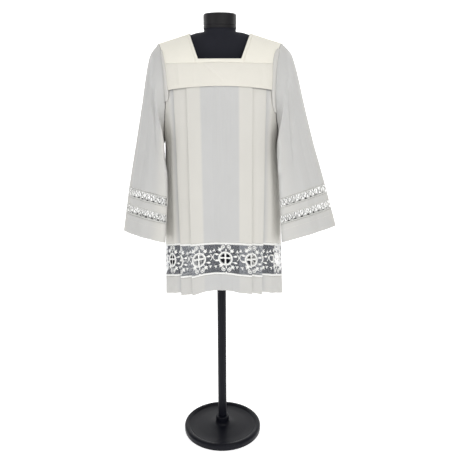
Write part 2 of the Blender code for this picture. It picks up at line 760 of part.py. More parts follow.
# ---------------------------------------------------------------- build
def build_body(collection, cloth, lace):
    for face, word in ((-1, "front"), (1, "back")):
        name = "yoke_" + word
        thicken(add_object(name, grid_mesh(name, yoke_band(face)), cloth, collection), WALL)
        name = word + "_panel"
        mesh = grid_mesh(name, pleated_rows(PANEL_ROWS, face))
        thicken(add_object(name, mesh, cloth, collection), WALL)
        name = "lace_" + word
        thicken(add_object(name, hem_lace(name, face), lace, collection), WALL)
        name = "hem_" + word
        mesh = grid_mesh(name, pleated_rows(HEM_ROWS, face))
        thicken(add_object(name, mesh, cloth, collection), WALL)
    for side, word in ((-1, "left"), (1, "right")):
        name = "shoulder_" + word
        mesh = grid_mesh(name, shoulder_piece(side))
        thicken(add_object(name, mesh, cloth, collection), WALL)
    name = "neck_facing"
    thicken(add_object(name, grid_mesh(name, neck_facing(), wrap=True), cloth, collection),
            FACING_WALL)


def build_sleeve(side, word, collection, cloth, lace):
    name = "sleeve_%s_upper" % word
    mesh = grid_mesh(name, upper_sleeve(side), wrap=True)
    thicken(add_object(name, mesh, cloth, collection), WALL)
    for row in SLEEVE_BANDS:
        band = dict(zip(BAND_COLUMNS, row))
        if band["name"].startswith("lace"):
            for back in (False, True):
                name = "sleeve_%s_%s_%s" % (word, band["name"], "back" if back else "front")
                mesh = ladder_lace(name, side, band, back)
                thicken(add_object(name, mesh, lace, collection), WALL)
        else:
            name = "sleeve_%s_%s" % (word, band["name"])
            last = band["end"] if band["end"] == CUFF_LENGTH else band["end"] - HALF_SEAM
            rows = [band_row(band["start"] + HALF_SEAM), band_row(last)]
            mesh = grid_mesh(name, sleeve_rings(side, rows, SLEEVE_COLUMNS), wrap=True)
            thicken(add_object(name, mesh, cloth, collection), WALL)


def build_form(collection, jersey, cap, metal):
    add_object("form_torso", torso_mesh("form_torso"), jersey, collection)
    turned("form_neck_cap", cap_profile(), 28, cap, collection)
    turned("form_pole", pole_profile(), 20, metal, collection)
    turned("form_base", base_profile(), 40, metal, collection)


def main():
    clear_scene()
    collection = bpy.data.collections.new("surplice_on_dress_form")
    bpy.context.scene.collection.children.link(collection)
    materials = {name: make_material(name) for name in COLOURS}
    cloth = materials["ivory_cloth"]
    lace = materials["white_lace"]
    build_body(collection, cloth, lace)
    build_sleeve(-1, "left", collection, cloth, lace)
    build_sleeve(1, "right", collection, cloth, lace)
    build_form(collection, materials["black_jersey"], materials["black_cap"],
               materials["black_metal"])


main()
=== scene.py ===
"""Looks of a square-necked surplice with lace bands, hanging on a limbless dress form.

Every cloth piece is a thin shell on the form of its solid.  A piece is drawn flat first,
with u across the cloth and v down it, and is then laid on its surface, so that weave,
lace and stitches follow the cloth round each fold.

Metres, +Z up, front towards -Y, origin at the centre of the base's underside.
"""
import math

import bmesh
import bpy
import numpy as np
from mathutils import Matrix, Vector


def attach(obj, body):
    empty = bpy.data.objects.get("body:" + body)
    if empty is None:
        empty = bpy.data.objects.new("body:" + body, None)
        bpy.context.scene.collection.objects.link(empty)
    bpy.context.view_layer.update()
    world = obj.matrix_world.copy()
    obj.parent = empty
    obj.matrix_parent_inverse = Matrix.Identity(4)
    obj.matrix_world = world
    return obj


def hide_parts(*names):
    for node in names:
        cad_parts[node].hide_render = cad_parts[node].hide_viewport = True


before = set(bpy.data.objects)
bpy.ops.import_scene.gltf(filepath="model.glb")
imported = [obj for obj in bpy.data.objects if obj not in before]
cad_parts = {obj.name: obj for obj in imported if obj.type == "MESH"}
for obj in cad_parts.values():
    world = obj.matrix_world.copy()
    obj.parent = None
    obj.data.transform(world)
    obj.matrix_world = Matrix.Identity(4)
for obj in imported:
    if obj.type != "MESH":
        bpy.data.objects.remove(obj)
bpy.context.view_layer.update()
BODY = "root"

# ---------------------------------------------------------------- sizes shared with the solids
WALL = 0.0013            # one layer of cloth in the solids
SEAM = 0.0003
HALF_SEAM = SEAM / 2
YOKE_SEAM_Z = 1.419
UNDERARM_DOWN = 0.165
LACE_TOP_DOWN = 0.550
LACE_END_DOWN = 0.670
HEM_DOWN = 0.732
HEM_SWAY = 0.011
SHOULDER_TIP_X = 0.220
SHOULDER_SLOPE = 0.3125
SHOULDER_CROWN = 0.04
SHOULDER_TOP = 1.6294
YOKE_RISE = 0.387
YOKE_RISE_END = 0.185
NECK_X = 0.0730
NECK_Z = 1.506
NECK_SPREAD = 0.375
NECK_SIDE_T = 0.4
NECK_STEPS = 30
FACING_WIDTH = 0.0100
LAYER_TOP = 0.0022
LAYER_HEM = 0.0040
PLEAT_LAYERS = 4
SIDE_STATIONS = 5
MEDALLION_PITCH = 0.098
MEDALLION_SHIFT = 0.0075
LACE_REPEATS = 10
SLEEVE_SQUARENESS = 2.25
FOLD_ANGLE = 1.25
FOLD_SPREAD = 0.35
SLEEVE_START = 0.0006
SLEEVE_UNDERARM = 0.0013
FORM_CLEARANCE = 0.0010
NECK_RADIUS = 0.058
CAP_FOOT_Z = 1.6105
FORM_TOP_Z = 1.660
TORSO_FOOT_Z = 0.680
POLE_RADIUS = 0.0175
BASE_RADIUS = 0.160
SOCKET_TOP_Z = 0.062

SECTION_COLUMNS = ("down", "half_width", "depth", "squareness", "edge_y", "side_drop")
BODY_SECTIONS = (
    (0.000, 0.2150, 0.1400, 2.85, 0.0914, 0.038),
    (0.050, 0.2130, 0.1410, 2.78, 0.0850, 0.039),
    (0.100, 0.2110, 0.1420, 2.70, 0.0680, 0.040),
    (0.140, 0.2095, 0.1430, 2.62, 0.0400, 0.041),
    (0.165, 0.2090, 0.1435, 2.60, 0.0000, 0.041),
    (0.280, 0.2150, 0.1470, 2.50, 0.0000, 0.044),
    (0.420, 0.2215, 0.1500, 2.45, 0.0000, 0.048),
    (0.550, 0.2255, 0.1510, 2.40, 0.0000, 0.050),
    (0.670, 0.2300, 0.1540, 2.36, 0.0000, 0.055),
    (0.732, 0.2330, 0.1560, 2.35, 0.0000, 0.062),
)
PLEAT_COLUMNS = ("down", "inner_under", "inner_fold", "outer_fold", "back_fold",
                 "under_sag", "inner_sag", "outer_sag", "side_sag")
PLEATS_RIGHT = (
    (0.000, 0.0650, 0.1130, 0.1640, 0.0805, 0.000, 0.000, 0.000, 0.000),
    (0.550, 0.0590, 0.1060, 0.1520, 0.0735, 0.001, 0.003, 0.003, 0.000),
    (0.732, 0.0580, 0.1050, 0.1465, 0.0725, 0.010, 0.014, 0.017, 0.010),
)
PLEATS_LEFT = (
    (0.000, 0.0670, 0.1150, 0.1640, 0.0900, 0.000, 0.000, 0.000, 0.000),
    (0.550, 0.0700, 0.1190, 0.1640, 0.0945, 0.001, 0.004, 0.003, 0.000),
    (0.732, 0.0710, 0.1190, 0.1680, 0.0945, 0.005, 0.019, 0.020, 0.010),
)
SLEEVE_COLUMN_NAMES = ("outer_x", "outer_z", "inner_x", "inner_z",
                       "half_depth", "centre_y", "lean", "fold", "front_rise")
SLEEVE_RIGHT = (
    (0.2360, 1.5480, 0.2150, 1.2000, 0.0960, -0.005, 0.35, 0.006, 0.000),
    (0.2600, 1.5260, 0.2085, 1.1720, 0.0990, -0.014, 0.80, 0.010, 0.001),
    (0.2757, 1.4860, 0.2050, 1.1500, 0.0980, -0.024, 1.00, 0.008, 0.002),
    (0.2925, 1.4280, 0.2045, 1.1250, 0.0960, -0.025, 1.00, 0.004, 0.004),
    (0.3142, 1.3440, 0.2082, 1.0950, 0.0930, -0.022, 0.95, 0.000, 0.007),
    (0.3484, 1.2212, 0.2107, 1.0550, 0.0880, -0.028, 1.00, 0.000, 0.011),
    (0.3776, 1.1300, 0.2128, 1.0220, 0.0798, -0.0337, 1.00, 0.000, 0.017),
    (0.3976, 1.0650, 0.2140, 1.0042, 0.0790, -0.034, 1.00, 0.000, 0.017),
    (0.4462, 0.8994, 0.2255, 0.8389, 0.0720, -0.038, 1.00, 0.000, 0.017),
)
SLEEVE_LEFT = (
    (0.2340, 1.5470, 0.2135, 1.2000, 0.0960, -0.005, 0.35, 0.006, 0.000),
    (0.2550, 1.5260, 0.2035, 1.1720, 0.0990, -0.014, 0.80, 0.010, 0.001),
    (0.2666, 1.4920, 0.1965, 1.1500, 0.1000, -0.024, 1.00, 0.008, 0.002),
    (0.2779, 1.4400, 0.1925, 1.1250, 0.1000, -0.026, 1.00, 0.004, 0.004),
    (0.2920, 1.3640, 0.1904, 1.1000, 0.0990, -0.022, 0.95, 0.000, 0.007),
    (0.3165, 1.2400, 0.1902, 1.0630, 0.0970, -0.028, 1.00, 0.000, 0.012),
    (0.3380, 1.1350, 0.1905, 1.0300, 0.0950, -0.032, 1.00, 0.000, 0.016),
    (0.3546, 1.0544, 0.1901, 1.0119, 0.0940, -0.034, 1.00, 0.000, 0.020),
    (0.3835, 0.8806, 0.2048, 0.8419, 0.0920, -0.038, 1.00, 0.000, 0.020),
)
LACE_ROW = 7
CUFF_ROW = 8
BAND_COLUMNS = ("name", "start", "end")
SLEEVE_BANDS = (
    ("lace_upper", 0.000, 0.036),
    ("middle", 0.036, 0.062),
    ("lace_lower", 0.062, 0.098),
    ("cuff", 0.098, 0.169),
)
CUFF_LENGTH = 0.169
CUFF_STITCH = 0.022      # the cuff's hem is sewn this far below the lower lace
TORSO_COLUMNS = ("side_z", "front_z", "half_width", "half_depth")
TORSO_RINGS = (
    (0.680, 0.680, 0.199, 0.117),
    (0.692, 0.692, 0.207, 0.124),
    (0.860, 0.860, 0.208, 0.125),
    (0.980, 0.980, 0.192, 0.119),
    (1.100, 1.100, 0.165, 0.108),
    (1.220, 1.210, 0.162, 0.108),
    (1.320, 1.290, 0.178, 0.116),
    (1.410, 1.350, 0.188, 0.119),
    (1.480, 1.400, 0.195, 0.117),
    (1.528, 1.440, 0.198, 0.108),
)
SHOULDER_RING_COLUMNS = ("half_width", "half_depth", "front_z")
SHOULDER_RINGS = (
    (0.186, 0.098, 1.480),
    (0.160, 0.087, 1.516),
    (0.130, 0.076, 1.543),
    (0.106, 0.068, 1.561),
    (0.080, 0.062, 1.576),
)
NECK_RINGS_Z = (1.600, CAP_FOOT_Z - SEAM)

# ---------------------------------------------------------------- sizes of the fine cloth
CLOTH = 0.0007           # real cloth is thinner than the walls of the solids
TAPE = 0.0009            # lace borders and folded strips
LIP = 0.0016             # a folded edge laps this far over the next piece
PANEL_SEWING = 0.0028    # topstitching from the lower edge of a panel or a sleeve's upper
BAND_SEWING = 0.0026     # topstitching from the edge of a narrow band
HEM_SEWING = 0.0040      # from the bottom edge of the hem
SHOULDER_SEWING = 0.003
YOKE_SEWING = (0.0022, 0.0085)           # two lines up from the yoke's lower edge
YOKE_TOP_SEWING = 0.0025
FACING_SEWING = (0.0016, 0.0018)         # from the facing's inner and outer edge
SHOULDER_FLAT = (0.130, 0.290)           # cut of a shoulder piece
OUTLINE_SAMPLES = 721


# ---------------------------------------------------------------- curves through tables
def smooth(key, keys, values):
    """Cubic curve through table values; it takes one key or an array of them."""
    keys = np.asarray(keys, float)
    values = np.asarray(values, float)
    slopes = np.gradient(values, keys, axis=0)
    key = np.clip(np.asarray(key, float), keys[0], keys[-1])
    i = np.clip(np.searchsorted(keys, key, side="right") - 1, 0, len(keys) - 2)
    width = keys[i + 1] - keys[i]
    t = (key - keys[i]) / width
    if values.ndim > 1:
        t = t[..., None]
        width = width[..., None]
    return ((2 * t ** 3 - 3 * t ** 2 + 1) * values[i]
            + (t ** 3 - 2 * t ** 2 + t) * width * slopes[i]
            + (3 * t ** 2 - 2 * t ** 3) * values[i + 1]
            + (t ** 3 - t ** 2) * width * slopes[i + 1])


def column(table, names, name):
    return [row[names.index(name)] for row in table]


def read(table, names, key_name, key, name):
    return float(np.interp(key, column(table, names, key_name), column(table, names, name)))


def section(down, name):
    """A size of the body's plan; the armhole's edge is straight from row to row."""
    keys = column(BODY_SECTIONS, SECTION_COLUMNS, "down")
    values = column(BODY_SECTIONS, SECTION_COLUMNS, name)
    if name == "edge_y":
        return float(np.interp(down, keys, values))
    return float(smooth(down, keys, values))


def bell(distance, width):
    return np.exp(-(distance / width) ** 2)


def ramp(value, start, end):
    """0 before start, 1 after end, and an even S between them."""
    t = np.clip((value - start) / (end - start), 0.0, 1.0)
    return t * t * (3 - 2 * t)


# ---------------------------------------------------------------- surfaces
def grid_normals(points, wrap):
    """Outward normals of a grid whose rows run down and whose columns run to the right."""
    down = np.gradient(points, axis=0)
    if wrap:
        ring = points[:, :-1]
        right = (np.roll(ring, -1, axis=1) - np.roll(ring, 1, axis=1)) / 2
        right = np.concatenate([right, right[:, :1]], axis=1)
    else:
        right = np.gradient(points, axis=1)
    normal = np.cross(down, right)
    size = np.linalg.norm(normal, axis=2, keepdims=True)
    return normal / np.maximum(size, 1e-12)


class Surface:
    """A grid of points with flat places u of its columns and v of its rows, in metres.

    A closed surface repeats its first column at the end.
    """

    def __init__(self, points, u, v, wrap=False):
        self.points = np.asarray(points, float)
        self.u = np.asarray(u, float)
        self.v = np.asarray(v, float)
        self.wrap = wrap
        self.normals = grid_normals(self.points, wrap)

    def pushed(self, amount):
        """The same surface moved outwards by an amount at each point."""
        return Surface(self.points + self.normals * amount[..., None], self.u, self.v, self.wrap)

    def place(self, u, v, lift=0.0):
        """Points of the surface at flat places, lifted off it."""
        u, v, lift = np.broadcast_arrays(np.asarray(u, float), np.asarray(v, float), lift)
        across = np.interp(u, self.u, np.arange(len(self.u)))
        along = np.interp(v, self.v, np.arange(len(self.v)))
        c = np.clip(across.astype(int), 0, len(self.u) - 2)
        r = np.clip(along.astype(int), 0, len(self.v) - 2)
        f = (across - c)[..., None]
        g = (along - r)[..., None]

        def mix(grid):
            top = grid[r, c] * (1 - f) + grid[r, c + 1] * f
            low = grid[r + 1, c] * (1 - f) + grid[r + 1, c + 1] * f
            return top * (1 - g) + low * g

        return mix(self.points) + mix(self.normals) * lift[..., None]


def link(name, mesh, *materials):
    item = bpy.data.objects.new(name, mesh)
    for material in materials:
        mesh.materials.append(material)
    bpy.context.scene.collection.objects.link(item)
    return item


def set_tone(mesh, values):
    tone = mesh.attributes.new("tone", "FLOAT", "POINT")
    tone.data.foreach_set("value", np.asarray(values, np.float32).ravel())


def corner_vertices(mesh):
    loops = np.zeros(len(mesh.loops), np.int32)
    mesh.loops.foreach_get("vertex_index", loops)
    return loops


def flat_map(mesh, places):
    """Store the flat place of each face corner as the UV map."""
    layer = mesh.uv_layers.new(name="flat")
    layer.data.foreach_set("uv", np.asarray(places, np.float32).ravel())


def cloth_piece(name, surface, tone, outside, inside, thickness=CLOTH):
    """Thin shell of cloth on a surface, with its flat places as the UV map."""
    rows, columns = surface.points.shape[:2]
    width = columns - 1 if surface.wrap else columns
    points = surface.points[:, :width].reshape(-1, 3)
    r, c = np.meshgrid(np.arange(rows - 1), np.arange(columns - 1), indexing="ij")
    r, c = r.ravel(), c.ravel()
    right = (c + 1) % width if surface.wrap else c + 1
    faces = np.stack([r * width + c, (r + 1) * width + c,
                      (r + 1) * width + right, r * width + right], axis=1)
    mesh = bpy.data.meshes.new(name)
    mesh.from_pydata(points.tolist(), [], faces.tolist())
    flat = np.stack([np.stack([surface.u[c], surface.v[r]], axis=1),
                     np.stack([surface.u[c], surface.v[r + 1]], axis=1),
                     np.stack([surface.u[c + 1], surface.v[r + 1]], axis=1),
                     np.stack([surface.u[c + 1], surface.v[r]], axis=1)], axis=1)
    flat_map(mesh, flat)
    set_tone(mesh, tone[:, :width])
    mesh.shade_smooth()
    item = link(name, mesh, outside, inside)
    shell = item.modifiers.new("wall", "SOLIDIFY")
    shell.thickness = thickness
    shell.offset = 0.0
    shell.use_even_offset = True
    shell.thickness_clamp = 1.0
    # the inner face takes the second material, which is painted shade
    shell.material_offset = 1
    shell.material_offset_rim = 0
    return item


# ---------------------------------------------------------------- the body's outline
def quarter_outline(down):
    angle = np.linspace(0.0, math.pi / 2, OUTLINE_SAMPLES)
    power = 2.0 / section(down, "squareness")
    x = section(down, "half_width") * np.sin(angle) ** power
    y = section(down, "depth") * np.abs(np.cos(angle)) ** power
    length = np.concatenate(([0.0], np.cumsum(np.hypot(np.diff(x), np.diff(y)))))
    return x, y, length


def outline_reach(down):
    _, y, length = quarter_outline(down)
    edge_y = max(section(down, "edge_y"), HALF_SEAM)
    return float(np.interp(-edge_y, -y, length))


def outline_place(down, s, offset):
    """Plan places at lengths s, moved outwards by offset."""
    x, y, length = quarter_outline(down)
    step = 0.003
    ahead = np.minimum(s + step, length[-1])
    behind = np.maximum(s - step, 0.0)
    run_x = np.interp(ahead, length, x) - np.interp(behind, length, x)
    run_y = np.interp(ahead, length, y) - np.interp(behind, length, y)
    run = np.hypot(run_x, run_y)
    place_x = np.interp(s, length, x) - run_y / run * offset
    place_y = np.interp(s, length, y) + run_x / run * offset
    return place_x, np.maximum(place_y, HALF_SEAM)


def drop(down, s):
    return section(down, "side_drop") * (s / quarter_outline(down)[2][-1]) ** 2


# ---------------------------------------------------------------- pleated front and back
def pleat_stations(table, down):
    """Half of the pleated path as in the solids: (length, layer, sag) at each station."""
    x, _, length = quarter_outline(down)

    def reach(name):
        return float(np.interp(read(table, PLEAT_COLUMNS, "down", down, name), x, length))

    under = reach("inner_under")
    inner = reach("inner_fold")
    outer = reach("outer_fold")
    back = reach("back_fold")
    edge = outline_reach(down)

    def sag(name):
        return read(table, PLEAT_COLUMNS, "down", down, name)

    under_sag, inner_sag, outer_sag, side_sag = map(sag, PLEAT_COLUMNS[5:])
    path = [
        (0.0, 4, 0.0), (under / 2, 4, under_sag / 3), (under, 4, under_sag),
        (inner, 4, inner_sag), (inner, 3, inner_sag), (under, 3, under_sag),
        (under, 2, under_sag), (inner, 2, inner_sag * 0.8),
        ((inner + outer) / 2, 2, (inner_sag + outer_sag) * 0.45), (outer, 2, outer_sag),
        (outer, 1, outer_sag), ((back + outer) / 2, 1, outer_sag / 2), (back, 1, 0.0),
        (back, 0, 0.0), ((back + outer) / 2, 0, side_sag / 2), (outer, 0, side_sag),
    ]
    for i in range(1, SIDE_STATIONS + 1):
        part = i / SIDE_STATIONS
        path.append((outer + (edge - outer) * part, PLEAT_LAYERS * part, side_sag))
    return np.array(path)


# station where the cloth turns back, and which way the fold points
PLEAT_TURNS = {3: 1, 5: -1, 9: 1, 12: -1}
STATION_STEPS = (10, 10, 12, 6, 6, 6, 6, 5, 6, 6, 4, 4, 6, 4, 4, 5, 5, 5, 5, 5)


def fine_stations():
    """Station numbers of the fine columns of one half, dense round each fold."""
    numbers = [0.0]
    for station, steps in enumerate(STATION_STEPS):
        numbers += [station + (i + 1) / steps for i in range(steps)]
    return np.array(numbers)


def layer_spacing(down):
    return LAYER_TOP + (LAYER_HEM - LAYER_TOP) * down / HEM_DOWN


def pleated_path(table, down, stations):
    """Length, layer and sag at fine stations, with each fold rounded."""
    path = pleat_stations(table, down)
    numbers = np.arange(len(path))
    s, layer, sag = (np.interp(stations, numbers, path[:, k]) for k in range(3))
    for turn, way in PLEAT_TURNS.items():
        inside = (stations >= turn) & (stations <= turn + 1)
        part = stations[inside] - turn
        round_part = (1 - np.cos(math.pi * part)) / 2
        layer[inside] = path[turn, 1] + (path[turn + 1, 1] - path[turn, 1]) * round_part
        bulge = way * layer_spacing(down) / 2
        s[inside] += bulge * (np.sin(math.pi * part) - 1.0)
    for turn, way in PLEAT_TURNS.items():
        bulge = way * layer_spacing(down) / 2
        near_before = (stations > turn - 1) & (stations < turn)
        near_after = (stations > turn + 1) & (stations < turn + 2)
        s[near_before] -= bulge * (stations[near_before] - (turn - 1))
        s[near_after] -= bulge * (turn + 2 - stations[near_after])
    return s, layer, sag


FOLD_COLUMNS = ("s_top", "s_hem", "width", "height_top", "height_middle", "height_hem")
FRONT_FOLDS = (          # soft upright folds of the single cloth, from the seam to the hem
    (-0.062, -0.078, 0.0080, 0.0008, 0.0000, 0.0000),
    (-0.046, -0.052, 0.0070, 0.0013, 0.0004, 0.0000),
    (-0.030, -0.030, 0.0060, -0.0012, -0.0010, -0.0006),
    (-0.014, -0.006, 0.0060, 0.0015, 0.0012, 0.0020),
    (0.002, 0.018, 0.0055, -0.0010, -0.0004, 0.0000),
    (0.017, 0.030, 0.0060, 0.0014, 0.0009, -0.0014),
    (0.033, 0.046, 0.0065, -0.0011, 0.0000, 0.0010),
    (0.048, 0.054, 0.0070, 0.0010, 0.0006, 0.0000),
    (-0.020, -0.035, 0.0280, 0.0000, -0.0016, -0.0030),
    (0.035, 0.025, 0.0300, 0.0000, 0.0012, 0.0026),
    (-0.190, -0.205, 0.0100, 0.0012, 0.0026, 0.0030),
    (-0.212, -0.236, 0.0110, 0.0000, -0.0020, -0.0030),
    (0.192, 0.200, 0.0100, 0.0010, 0.0022, 0.0034),
    (0.214, 0.232, 0.0110, 0.0000, -0.0022, -0.0030),
    (0.132, 0.128, 0.0130, 0.0004, 0.0010, 0.0014),
    (-0.138, -0.137, 0.0130, 0.0004, -0.0008, 0.0012),
)
BACK_FOLDS = tuple(
    (-top, -hem, width * stretch, high, middle * stretch, low)
    for (top, hem, width, high, middle, low), stretch in zip(FRONT_FOLDS, (1.1, 0.9) * 8))


def body_ripple(s, down, face, edge):
    """How far the cloth's own folds stand out at signed lengths s."""
    total = np.zeros_like(s)
    part = down / HEM_DOWN
    for row in (FRONT_FOLDS if face < 0 else BACK_FOLDS):
        fold = dict(zip(FOLD_COLUMNS, row))
        centre = fold["s_top"] + (fold["s_hem"] - fold["s_top"]) * part
        height = float(smooth(part, (0.0, 0.5, 1.0),
                              (fold["height_top"], fold["height_middle"], fold["height_hem"])))
        total += height * bell(s - centre, fold["width"])
    return total * (1 - ramp(np.abs(s), edge - 0.030, edge - 0.006)) * ramp(down, -0.001, 0.012)


SIDE_PAINTED_LIGHT = 0.030      # painted light: the side's cloth is lightened over this length as it turns round the side


def cloth_tone(s, table, down):
    """1 where three layers lie on each other, and also where the side turns away, as painted light;
    0 in single cloth.
    """
    path = pleat_stations(table, down)
    under, outer = path[2, 0], path[9, 0]
    edge = 0.0022
    layered = ramp(s, under - edge, under + edge) * (1 - ramp(s, outer - edge, outer + edge))
    # painted light: single cloth on the side is lightened towards the layered colour as it turns
    # away
    return layered + ramp(s, outer + edge, outer + SIDE_PAINTED_LIGHT)


def half_row(table, side, down, stations, face, lift):
    """Points, flat lengths and tones across one half at one level."""
    s, layer, sag = pleated_path(table, down, stations)
    inset = WALL + SEAM + (PLEAT_LAYERS - layer) * layer_spacing(down) - lift
    inset = inset - body_ripple(side * s, down, face, outline_reach(down))
    x, y = outline_place(down, s, -inset)
    z = YOKE_SEAM_Z - down - drop(down, s) - sag
    points = np.stack([side * x + HEM_SWAY * down / HEM_DOWN, face * y, z], axis=1)
    return points, cloth_tone(s, table, down)


def flat_lengths(table, down, stations):
    s, layer, _ = pleated_path(table, down, stations)
    runs = np.hypot(np.diff(s), np.diff(layer) * layer_spacing(down))
    return np.concatenate(([0.0], np.cumsum(runs)))


def pleated_surface(downs, face, lift=0.0):
    """Pleated cloth between two levels: the surface, its tones and its flat width."""
    stations = fine_stations()
    middle = (downs[0] + downs[-1]) / 2
    right = flat_lengths(PLEATS_RIGHT, middle, stations)
    left = flat_lengths(PLEATS_LEFT, middle, stations)
    u = np.concatenate([-left[:0:-1], right])
    points, tones = [], []
    for down in downs:
        left_points, left_tone = half_row(PLEATS_LEFT, -1, down, stations, face, lift)
        right_points, right_tone = half_row(PLEATS_RIGHT, 1, down, stations, face, lift)
        points.append(np.concatenate([left_points[:0:-1], right_points]))
        tones.append(np.concatenate([left_tone[:0:-1], right_tone]))
    points, tones = np.array(points), np.array(tones)
    if face > 0:
        points, tones, u = points[:, ::-1], tones[:, ::-1], -u[::-1]
    return Surface(points, u, downs), tones, float(u[-1] - u[0])


# ---------------------------------------------------------------- yoke and shoulders
def shoulder_height(x):
    return SHOULDER_TOP - SHOULDER_SLOPE * np.hypot(x, SHOULDER_CROWN)


YOKE_REACH = outline_reach(0.0)


def yoke_points(t, angle, face):
    """Points of the yoke's surface; t runs from -1 to 1 across, angle from the seam up."""
    t, angle = np.broadcast_arrays(np.asarray(t, float), np.asarray(angle, float))
    s = np.abs(t) * YOKE_REACH
    low_x, low_y = outline_place(0.0, s, 0.0)
    top_x = np.abs(t) * SHOULDER_TIP_X
    x = low_x + (top_x - low_x) * (1.0 - np.cos(angle))
    low_z = YOKE_SEAM_Z - drop(0.0, s)
    z = low_z + (shoulder_height(top_x) - low_z) * np.sin(angle)
    return np.stack([np.sign(t) * x, face * low_y * np.cos(angle), z], axis=-1)


def over_shoulder(t, angle):
    """The same surface with angles from the front seam over the shoulder to the back."""
    front = angle <= math.pi / 2
    points = yoke_points(t, np.where(front, angle, math.pi - angle), -1)
    points[..., 1] *= np.where(front, 1.0, -1.0)
    return points


def seam_angle(t):
    return np.arcsin(YOKE_RISE + YOKE_RISE_END * np.asarray(t) ** 2)


def neck_edge(angle):
    """t of the neck's side edge at angles up the yoke."""
    t = np.full(np.shape(angle), NECK_SIDE_T)
    for _ in range(NECK_STEPS):
        point = yoke_points(t, angle, -1)
        t = t * (NECK_X + NECK_SPREAD * (point[..., 2] - NECK_Z)) / point[..., 0]
    return t


def neck_angle(t):
    """Angle of the neck's level lower edge."""
    low_z = yoke_points(t, 0.0, -1)[..., 2]
    top_z = yoke_points(t, math.pi / 2, -1)[..., 2]
    return np.arcsin((NECK_Z - low_z) / (top_z - low_z))


def neck_corner():
    """t of the neck's lower corners."""
    t = np.array(NECK_SIDE_T)
    for _ in range(NECK_STEPS):
        t = neck_edge(neck_angle(t))
    return t


CORNER_T = float(neck_corner())
CORNER_ANGLE = float(neck_angle(CORNER_T))


def neck_t(angle):
    folded = np.minimum(angle, math.pi - angle)
    return neck_edge(np.maximum(folded, CORNER_ANGLE))


def half_turn(part, t):
    """Angle over the shoulder for part 0 (front seam) to 1 (back seam)."""
    start = seam_angle(t)
    return start + (math.pi - 2 * start) * part


CREASE_COLUMNS = ("t_start", "up_start", "t_end", "up_end", "width", "height")
YOKE_CREASES = {         # soft creases; up is 0 at the pleats and 1 at the shoulder seam
    -1: ((-0.30, 1.00, 0.05, 0.22, 0.0075, -0.0017),
         (-0.24, 1.00, 0.13, 0.16, 0.0065, 0.0014),
         (-0.71, 0.95, -0.69, 0.02, 0.0060, 0.0013),
         (-0.76, 0.90, -0.73, 0.02, 0.0055, -0.0010),
         (0.80, 1.00, 0.86, 0.10, 0.0060, 0.0012),
         (0.70, 0.95, 0.77, 0.10, 0.0080, -0.0010),
         (0.34, 0.80, 0.24, 0.05, 0.0110, 0.0009),
         (-0.47, 0.70, -0.40, 0.05, 0.0120, 0.0008)),
    1: ((0.22, 1.00, -0.10, 0.15, 0.0080, -0.0014),
        (0.74, 0.95, 0.70, 0.05, 0.0065, 0.0012),
        (-0.79, 1.00, -0.84, 0.10, 0.0060, 0.0012),
        (-0.36, 0.85, -0.28, 0.05, 0.0110, 0.0009),
        (0.50, 0.70, 0.41, 0.05, 0.0120, -0.0008)),
}


def crease_push(rows, across, up, width, height):
    """Sum of straight soft creases drawn on a surface that is width by height metres."""
    total = np.zeros(np.broadcast(across, up).shape)
    for row in rows:
        crease = dict(zip(CREASE_COLUMNS, row))
        start = np.array([crease["t_start"] * width, crease["up_start"] * height])
        run = np.array([crease["t_end"] * width, crease["up_end"] * height]) - start
        px = across * width - start[0]
        py = up * height - start[1]
        along = (px * run[0] + py * run[1]) / (run @ run)
        off = (px * run[1] - py * run[0]) / math.sqrt(run @ run)
        fade = ramp(along, -0.10, 0.15) * (1 - ramp(along, 0.80, 1.10))
        total += crease["height"] * bell(off, crease["width"]) * fade
    return total


YOKE_HEIGHT = 0.078


def yoke_surface(face):
    across = np.linspace(-1.0, 1.0, 141) * face * -1.0
    up = np.linspace(1.0, 0.0, 25)
    t, part = np.meshgrid(across, up)
    low = -LIP / YOKE_HEIGHT * 0.43
    angle = low + (seam_angle(t) - low) * part
    points = yoke_points(t, angle, face)
    surface = Surface(points, across * YOKE_REACH * -face, (1.0 - up) * YOKE_HEIGHT)
    push = crease_push(YOKE_CREASES[face], t, part, YOKE_REACH, YOKE_HEIGHT)
    push *= ramp(part, -0.02, 0.10) * (1 - ramp(part, 0.90, 1.0))
    push *= 1 - ramp(np.abs(t), 0.93, 1.0)
    return surface.pushed(push)


def shoulder_surface(side):
    across = np.linspace(0.0, 1.0, 33)
    along = np.linspace(0.0, 1.0, 65)
    rows = []
    for part in along:
        inner = float(neck_t(half_turn(part, NECK_SIDE_T))) + FACING_WIDTH / SHOULDER_TIP_X
        t = inner + (1.0 - inner) * across
        rows.append(over_shoulder(side * t, half_turn(part, t)))
    points = np.array(rows)
    if side > 0:
        points = points[::-1]
    u = across * (SHOULDER_TIP_X * 0.62)
    return Surface(points, u, along * SHOULDER_FLAT[1])


